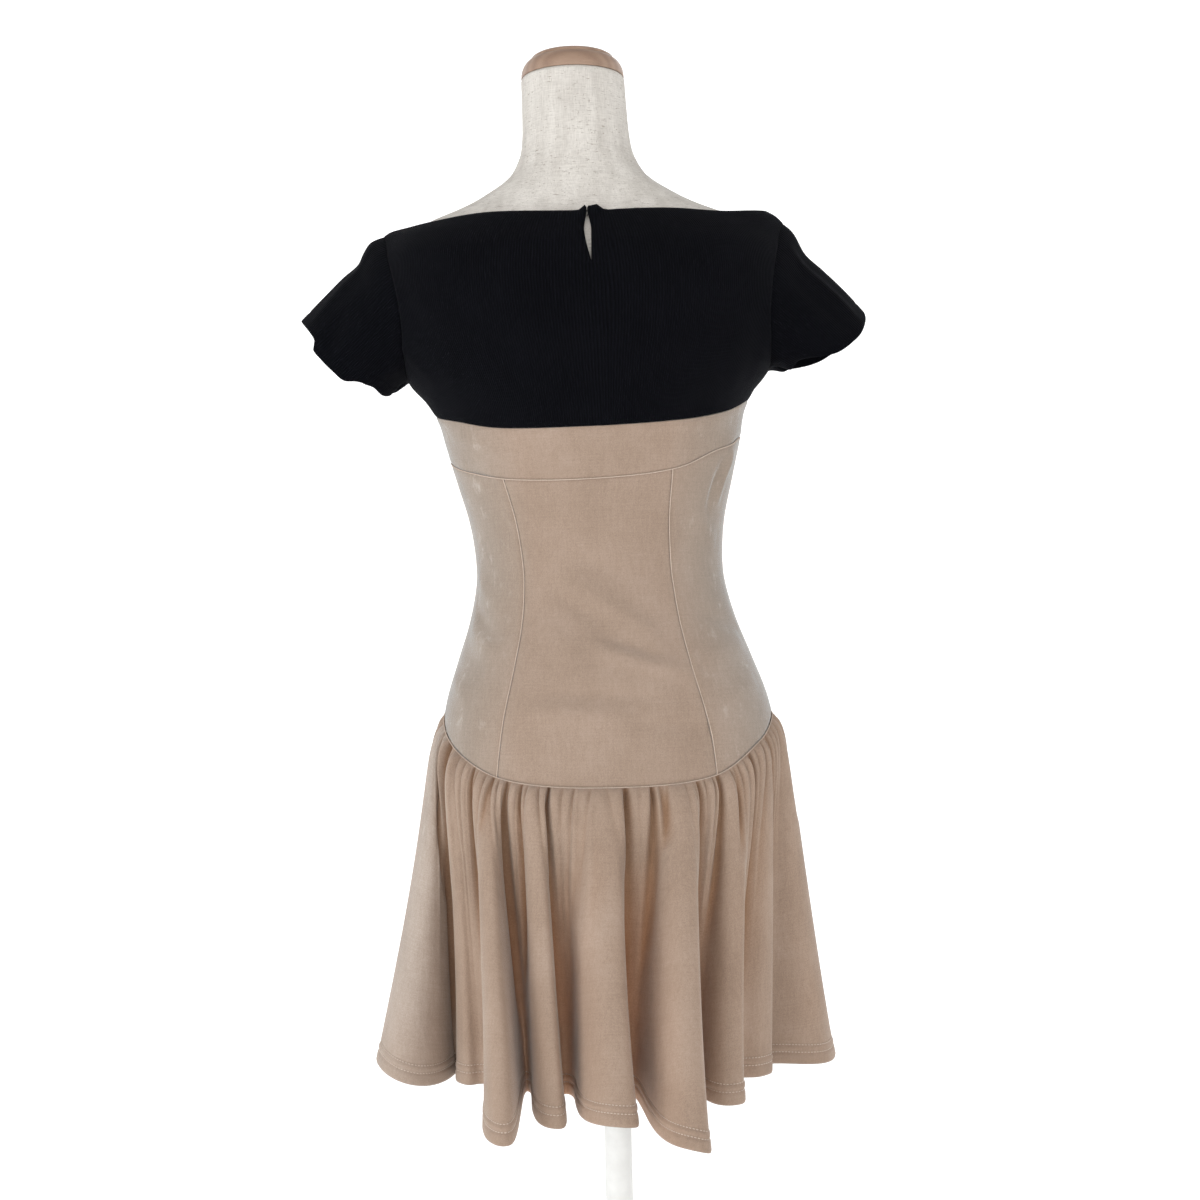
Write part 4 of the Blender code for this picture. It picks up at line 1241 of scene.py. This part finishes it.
def brushed_pile_group():
    """Velour pile: patches where it was stroked, streaks along the nap, ground lines and fibres.

    The four shares say how much each of them counts in the tone. They add up to 1.
    """
    shares = ("Patch Share", "Streak Share", "Line Share", "Fibre Share")
    layers = ("Tone", "Streaks", "Lines", "Fibres", "Marks")
    group, given, out = value_group("brushed_pile", ("Place", "Grain"), shares, layers)
    place = given["Place"]
    patches = noise(group, stretched(group, place, (1.0, 1.0, 0.7)), 17.0, 3.0, 0.5)
    streaks = noise(group, stretched(group, place, (1.0, 1.0, 0.22)), 380.0, 3.0, 0.65)
    lines = noise(group, stretched(group, given["Grain"], (0.05, 1.0, 1.0)), 620.0, 1.0)
    fibres = noise(group, stretched(group, place, (1.0, 1.0, 0.6)), 1500.0, 3.0, 0.75)
    tone = maths(group, "MULTIPLY", patches, given["Patch Share"])
    for layer, share in zip((streaks, lines, fibres), shares[1:]):
        tone = maths(group, "MULTIPLY_ADD", layer, given[share], tone)
    marks = noise(group, stretched(group, place, (1.0, 1.0, 0.45)), 85.0, 6.0, 0.72)
    for label, value in zip(layers, (tone, streaks, lines, fibres, marks)):
        group.links.new(value, out[label])
    return group


def knit_fuzz_group():
    """Short fuzz that stands on the black knit."""
    group, given, out = value_group("knit_fuzz", ("Place",), ("Fineness",), ("Fuzz",))
    group.links.new(noise(group, given["Place"], given["Fineness"], 2.0, 0.7), out["Fuzz"])
    return group


def place_group(tree, group, given):
    """Group placed in a material. given holds a plain value or a link for each of its inputs."""
    node = add(tree, "ShaderNodeGroup", node_tree=group)
    for label, value in given.items():
        if isinstance(value, float):
            node.inputs[label].default_value = value
        else:
            tree.links.new(value, node.inputs[label])
    return node.outputs


# How much of a pale mark shows, by the strength of the marks' noise
MARK_STOPS = ((0.57, (0.0, 0.0, 0.0)), (0.68, (0.45, 0.45, 0.45)))


def velour_material(name, pile, tones, shares, painted_sheen_tint, sheen, sheen_tint):
    """Beige velour: soft short pile on a fine cross-lined ground. tones runs from dark to light.

    Where the sides are marked in the mesh, the colour is tinted as painted sheen: a little greyer
    at the bodice's sides, and much paler and cooler on the skirt's left side fold as painted light.
    The marked places also carry pale marks of brushed pile. In the skirt's valleys the colour is
    painted brighter and warmer as painted bounce light, and in its crease troughs darker as painted
    shade.
    """
    material, tree, shader = node_tree_of(name)
    patch, streak, line, fibre = shares
    nap = place_group(
        tree,
        pile,
        {
            "Place": object_place(tree),
            "Grain": grain_map(tree),
            "Patch Share": patch,
            "Streak Share": streak,
            "Line Share": line,
            "Fibre Share": fibre,
        },
    )
    colour = ramp(tree, nap["Tone"], ((0.35, tones[0]), (0.50, tones[1]), (0.65, tones[2])))
    fleck = ramp(tree, nap["Fibres"], ((0.35, (0.93, 0.92, 0.91)), (0.65, (1.06, 1.06, 1.06))))
    smooth = mixed(tree, 1.0, colour, fleck, "MULTIPLY")
    # Painted sheen: the marked sides are tinted greyer and cooler, the skirt's left side fold paler
    # as painted light, and pale pile marks lie over them.
    sheen_and_brushed = add(tree, "ShaderNodeAttribute", attribute_name="sheen_and_brushed").outputs["Fac"]
    sheen_tinted_pile = mixed(tree, 1.0, smooth, painted_sheen_tint, "MULTIPLY")
    marked = mixed(tree, ramp(tree, nap["Marks"], MARK_STOPS), sheen_tinted_pile, (0.50, 0.45, 0.40))
    open_cloth = mixed(tree, sheen_and_brushed, smooth, marked)
    # Painted light: the skirt's valleys are painted brighter and warmer, standing in for bounce
    # light between the folds.
    painted_valley_light = add(tree, "ShaderNodeAttribute", attribute_name="painted_valley_light").outputs["Fac"]
    valley_light_colour = mixed(tree, 1.0, open_cloth, (1.62, 1.33, 1.14), "MULTIPLY")
    with_valley_light = mixed(tree, painted_valley_light, open_cloth, valley_light_colour)
    # Painted shade: the troughs of creases and gathers are painted darker and browner.
    painted_crease_shade = add(tree, "ShaderNodeAttribute", attribute_name="painted_crease_shade").outputs["Fac"]
    crease_shade_colour = mixed(tree, 1.0, with_valley_light, (0.80, 0.66, 0.54), "MULTIPLY")
    tree.links.new(mixed(tree, painted_crease_shade, with_valley_light, crease_shade_colour), shader.inputs["Base Color"])
    finish_sockets(
        shader,
        Roughness=0.92,
        Specular_IOR_Level=0.08,
        Sheen_Weight=sheen,
        Sheen_Roughness=0.42,
        Sheen_Tint=(*sheen_tint, 1.0),
    )
    fine = bump(tree, nap["Fibres"], 0.0004, 0.6)
    ground = bump(tree, nap["Lines"], 0.0003, 0.15, fine)
    tree.links.new(bump(tree, nap["Streaks"], 0.0005, 0.35, ground), shader.inputs["Normal"])
    return material


def rib_knit_material(fuzz_group):
    """Black fine rib: upright ribs, with small stitches along each one."""
    material, tree, shader = node_tree_of("black_rib_knit")
    grain = grain_map(tree)
    parts = add(tree, "ShaderNodeSeparateXYZ")
    tree.links.new(grain, parts.inputs[0])
    waver = maths(tree, "MULTIPLY", noise(tree, grain, 60.0, 2.0), 0.0012)
    across = maths(tree, "ADD", parts.outputs["X"], waver)
    turn = maths(tree, "MULTIPLY", across, math.tau / RIB_PITCH)
    rib = maths(tree, "MULTIPLY_ADD", maths(tree, "SINE", turn), 0.5, 0.5)
    slant = maths(tree, "ABSOLUTE", maths(tree, "SINE", maths(tree, "MULTIPLY", turn, 0.5)))
    slant = maths(tree, "MULTIPLY", slant, 2.2)
    along = maths(tree, "MULTIPLY_ADD", parts.outputs["Y"], math.tau / KNIT_STITCH, slant)
    stitch = maths(tree, "MULTIPLY_ADD", maths(tree, "SINE", along), 0.5, 0.5)
    height = maths(tree, "MULTIPLY_ADD", stitch, 0.10, maths(tree, "POWER", rib, 0.7))
    fuzz = place_group(tree, fuzz_group, {"Place": grain, "Fineness": 1500.0})["Fuzz"]
    wash = noise(tree, grain, 22.0, 3.0)
    # Painted shade: the grooves between the ribs are coloured darker than the rib tops; the fuzz
    # adds random tone.
    tone = maths(tree, "MULTIPLY_ADD", fuzz, 0.35, maths(tree, "MULTIPLY", rib, 0.65))
    colour = ramp(tree, tone, ((0.10, (0.0008, 0.0009, 0.0015)), (0.85, (0.0023, 0.0026, 0.0043))))
    shade = ramp(tree, wash, ((0.3, (0.85, 0.85, 0.87)), (0.7, (1.2, 1.18, 1.15))))
    tree.links.new(mixed(tree, 1.0, colour, shade, "MULTIPLY"), shader.inputs["Base Color"])
    finish_sockets(
        shader,
        Roughness=0.88,
        Specular_IOR_Level=0.05,
        Sheen_Weight=0.02,
        Sheen_Roughness=0.5,
        Sheen_Tint=(0.60, 0.62, 0.72, 1.0),
    )
    tree.links.new(bump(tree, height, 0.0006, 0.55), shader.inputs["Normal"])
    return material


def knit_edge_material(fuzz_group):
    """Folded edge of the same black knit, on small round pieces."""
    material, tree, shader = node_tree_of("black_knit_edge")
    fuzz = place_group(tree, fuzz_group, {"Place": object_place(tree), "Fineness": 1800.0})["Fuzz"]
    colour = ramp(tree, fuzz, ((0.3, (0.0010, 0.0011, 0.0016)), (0.7, (0.0032, 0.0034, 0.0050))))
    tree.links.new(colour, shader.inputs["Base Color"])
    finish_sockets(shader, Roughness=0.9, Specular_IOR_Level=0.05)
    tree.links.new(bump(tree, fuzz, 0.0003, 0.5), shader.inputs["Normal"])
    return material


def thread_material():
    material, tree, shader = node_tree_of("beige_thread")
    twist = noise(tree, stretched(tree, object_place(tree), (1.0, 1.0, 0.5)), 2500.0, 1.0)
    colour = ramp(tree, twist, ((0.3, (0.50, 0.405, 0.335)), (0.7, (0.62, 0.520, 0.445))))
    tree.links.new(colour, shader.inputs["Base Color"])
    finish_sockets(shader, Roughness=0.55)
    return material


def linen_material():
    """Natural linen: uneven weave, pale ground, and grey-brown slubs along both threads."""
    material, tree, shader = node_tree_of("natural_linen")
    place = object_place(tree)
    warp = noise(tree, stretched(tree, place, (1.0, 1.0, 0.08)), 1300.0, 2.0, 0.6)
    weft = noise(tree, stretched(tree, place, (0.08, 0.08, 1.0)), 1300.0, 2.0, 0.6)
    weave = maths(tree, "MULTIPLY", maths(tree, "ADD", warp, weft), 0.5)
    cloud = noise(tree, place, 26.0, 3.0, 0.6)
    streak = noise(tree, stretched(tree, place, (1.0, 1.0, 0.12)), 95.0, 2.0, 0.5)
    ground = ramp(
        tree,
        maths(tree, "MULTIPLY_ADD", streak, 0.6, maths(tree, "MULTIPLY", cloud, 0.4)),
        ((0.34, (0.49, 0.462, 0.428)), (0.62, (0.605, 0.578, 0.542))),
    )
    thread = ramp(tree, weave, ((0.36, (0.84, 0.83, 0.82)), (0.60, (1.06, 1.06, 1.05))))
    cloth = mixed(tree, 1.0, ground, thread, "MULTIPLY")
    flat_slub = noise(tree, stretched(tree, place, (0.20, 0.20, 1.0)), 900.0, 2.0, 0.6)
    tall_slub = noise(tree, stretched(tree, place, (1.0, 1.0, 0.20)), 900.0, 2.0, 0.6)
    slub = maths(tree, "MAXIMUM", flat_slub, maths(tree, "SUBTRACT", tall_slub, 0.02))
    fleck = ramp(tree, slub, ((0.635, (0.0, 0.0, 0.0)), (0.70, (0.80, 0.80, 0.80))))
    cloth = mixed(tree, fleck, cloth, (0.27, 0.235, 0.20))
    tree.links.new(cloth, shader.inputs["Base Color"])
    finish_sockets(shader, Roughness=0.9, Specular_IOR_Level=0.2)
    rough = maths(tree, "MULTIPLY_ADD", slub, 0.8, weave)
    tree.links.new(bump(tree, rough, 0.0004, 0.6), shader.inputs["Normal"])
    return material


def wood_material():
    material, tree, shader = node_tree_of("pale_turned_wood")
    place = object_place(tree)
    waved = noise(tree, stretched(tree, place, (0.14, 1.0, 1.0)), 60.0, 2.0)
    parts = add(tree, "ShaderNodeSeparateXYZ")
    tree.links.new(place, parts.inputs[0])
    waved = maths(tree, "MULTIPLY", waved, 5.0)
    rings = maths(tree, "SINE", maths(tree, "MULTIPLY_ADD", parts.outputs["Y"], 700.0, waved))
    fibre = noise(tree, stretched(tree, place, (0.06, 1.0, 1.0)), 1500.0, 3.0, 0.6)
    tone = maths(tree, "MULTIPLY_ADD", rings, 0.14, maths(tree, "MULTIPLY_ADD", fibre, 0.5, 0.25))
    dark, plain, light = (0.222, 0.136, 0.092), (0.284, 0.184, 0.126), (0.340, 0.228, 0.162)
    colour = ramp(tree, tone, ((0.25, dark), (0.55, plain), (0.80, light)))
    tree.links.new(colour, shader.inputs["Base Color"])
    finish_sockets(shader, Roughness=0.45, Coat_Weight=0.15, Coat_Roughness=0.3)
    tree.links.new(bump(tree, fibre, 0.0002, 0.3), shader.inputs["Normal"])
    return material


def paint_material():
    material, tree, shader = node_tree_of("white_satin_paint")
    place = object_place(tree)
    dust = noise(tree, place, 40.0, 4.0, 0.6)
    colour = ramp(tree, dust, ((0.3, (0.72, 0.72, 0.70)), (0.7, (0.82, 0.82, 0.80))))
    tree.links.new(colour, shader.inputs["Base Color"])
    rough = maths(tree, "MULTIPLY_ADD", noise(tree, place, 90.0, 3.0), 0.2, 0.28)
    tree.links.new(rough, shader.inputs["Roughness"])
    tree.links.new(bump(tree, noise(tree, place, 700.0, 2.0), 0.0002, 0.2), shader.inputs["Normal"])
    return material


def hook_material():
    material, tree, shader = node_tree_of("black_enamelled_hook")
    wear = noise(tree, object_place(tree), 900.0, 3.0)
    colour = ramp(tree, wear, ((0.5, (0.02, 0.02, 0.022)), (0.75, (0.16, 0.16, 0.17))))
    tree.links.new(colour, shader.inputs["Base Color"])
    finish_sockets(shader, Metallic=0.4, Roughness=0.35)
    return material


def floor_material():
    material, tree, shader = node_tree_of("pale_floor")
    cloud = noise(tree, object_place(tree), 0.8, 2.0)
    colour = ramp(tree, cloud, ((0.3, (0.86, 0.86, 0.86)), (0.7, (0.89, 0.89, 0.89))))
    tree.links.new(colour, shader.inputs["Base Color"])
    finish_sockets(
        shader,
        Roughness=0.8,
        Emission_Color=(1.0, 1.0, 1.0, 1.0),
        Emission_Strength=0.42,
    )
    return material


# Studio


def studio_floor():
    """Pale floor that curves up into a wall all round."""
    flat, cove, wall_top = 3.4, 1.6, 4.5
    profile = [(0.0, 0.0), (flat, 0.0)]
    for step in range(1, 17):
        turn = math.radians(90.0 * step / 16)
        profile.append((flat + cove * math.sin(turn), cove - cove * math.cos(turn)))
    profile.append((flat + cove, wall_top))
    shape = spun(profile, 96, 1e-5)
    bmesh.ops.recalc_face_normals(shape, faces=shape.faces)
    mesh = bpy.data.meshes.new("floor")
    shape.to_mesh(mesh)
    shape.free()
    mesh.shade_smooth()
    mesh.materials.append(floor_material())
    floor = bpy.data.objects.new("floor", mesh)
    bpy.context.scene.collection.objects.link(floor)


def soft_light(name, place, size, power, colour=(1.0, 1.0, 1.0), aim=(0.0, 0.0, 0.62)):
    data = bpy.data.lights.new(name, "AREA")
    data.shape = "DISK"
    data.size = size
    data.energy = power
    data.color = colour
    light = bpy.data.objects.new(name, data)
    light.location = place
    light.rotation_euler = (Vector(aim) - Vector(place)).to_track_quat("-Z", "Y").to_euler()
    bpy.context.scene.collection.objects.link(light)


def studio():
    studio_floor()
    soft_light("window", (-1.7, -2.3, 0.95), 1.3, 9.5, (1.0, 0.985, 0.965), (0.0, 0.0, 0.5))
    soft_light("low_left", (-1.4, -0.8, 0.30), 0.7, 4.4, (0.88, 0.95, 1.0), (-0.1, 0.0, 0.3))
    soft_light("front", (0.35, -2.7, 0.55), 1.5, 9.0, (1.0, 0.99, 0.975), (0.0, 0.0, 0.45))
    soft_light("behind", (0.3, 2.4, 1.9), 1.8, 7.0)
    world = bpy.data.worlds.new("studio_air")
    world.use_nodes = True
    air = world.node_tree.nodes["Background"]
    air.inputs["Color"].default_value = (1.0, 1.0, 1.0, 1.0)
    air.inputs["Strength"].default_value = 0.52
    bpy.context.scene.world = world


def photo_camera():
    """Camera at hip height behind the dress, held very slightly turned."""
    data = bpy.data.cameras.new("camera")
    data.sensor_width = 36.0
    data.lens = 36.0 * 1.64 / 1.104
    camera = bpy.data.objects.new("camera", data)
    level = Matrix.Rotation(math.radians(90.0), 4, "X")
    roll = Matrix.Rotation(math.radians(-1.3), 4, "Z")
    camera.matrix_world = Matrix.Translation((-0.0055, -1.64, 0.623)) @ level @ roll
    bpy.context.scene.collection.objects.link(camera)
    bpy.context.scene.camera = camera


# Putting it together


def dress():
    pile = brushed_pile_group()
    velour = velour_material(
        "beige_velour",
        pile,
        tones=((0.244, 0.178, 0.134), (0.300, 0.222, 0.170), (0.354, 0.270, 0.216)),
        shares=(0.38, 0.22, 0.10, 0.30),
        # Painted sheen tint for the bodice's sides.
        painted_sheen_tint=(0.95, 1.04, 1.10),
        sheen=0.60,
        sheen_tint=(0.80, 0.90, 0.97),
    )
    skirt_velour = velour_material(
        "beige_skirt_velour",
        pile,
        tones=((0.256, 0.184, 0.139), (0.316, 0.232, 0.177), (0.372, 0.284, 0.227)),
        shares=(0.38, 0.22, 0.10, 0.30),
        # Painted light tint for the skirt's left side fold: much paler and cooler.
        painted_sheen_tint=(1.26, 1.46, 1.66),
        sheen=0.32,
        sheen_tint=(0.92, 0.89, 0.85),
    )
    # Painted highlight: the seam lines' velour is paler than the cloth, as of pile catching the
    # light.
    pale = velour_material(
        "seam_highlight_velour",
        pile,
        tones=((0.42, 0.330, 0.270), (0.49, 0.390, 0.320), (0.55, 0.445, 0.370)),
        shares=(0.10, 0.30, 0.10, 0.50),
        painted_sheen_tint=(1.0, 1.0, 1.0),
        sheen=0.20,
        sheen_tint=(0.92, 0.89, 0.85),
    )
    fuzz = knit_fuzz_group()
    knit = rib_knit_material(fuzz)
    edge = knit_edge_material(fuzz)
    thread = thread_material()
    yoke("yoke_front_knit", "yoke_front", 180.0, knit)
    slit = yoke("yoke_back_knit", "yoke_back", 0.0, knit)
    keyhole_binding(slit, edge)
    neck_hook(hook_material())
    sleeve("sleeve_left_knit", "sleeve_left", LEFT_SLEEVE, LEFT_SLEEVE_CREASES, knit)
    sleeve("sleeve_right_knit", "sleeve_right", RIGHT_SLEEVE, RIGHT_SLEEVE_CREASES, knit)
    armhole_seam("armhole_seam_left", -1, edge)
    armhole_seam("armhole_seam_right", 1, edge)
    bands(velour)
    bodice(velour)
    velour_seams(pale)
    for node, first, folds, columns, seed in (
        ("skirt_back", 0, BACK_FOLDS, 560, 11),
        ("skirt_front", BACK_FOLDS, FRONT_FOLDS, 500, 29),
    ):
        skirt_half(node + "_velour", node, first, folds, columns, skirt_velour, thread, seed)


def dress_form():
    form_torso(linen_material())
    lean = LEAN * (NECK_TOP - LEAN_START)
    turned("cap", "form_cap", CAP_PROFILE, (-lean, 0.0, NECK_TOP), wood_material(), "wood")
    stand(paint_material())


dress()
dress_form()
studio()
photo_camera()
bpy.context.scene.view_settings.view_transform = "Standard"
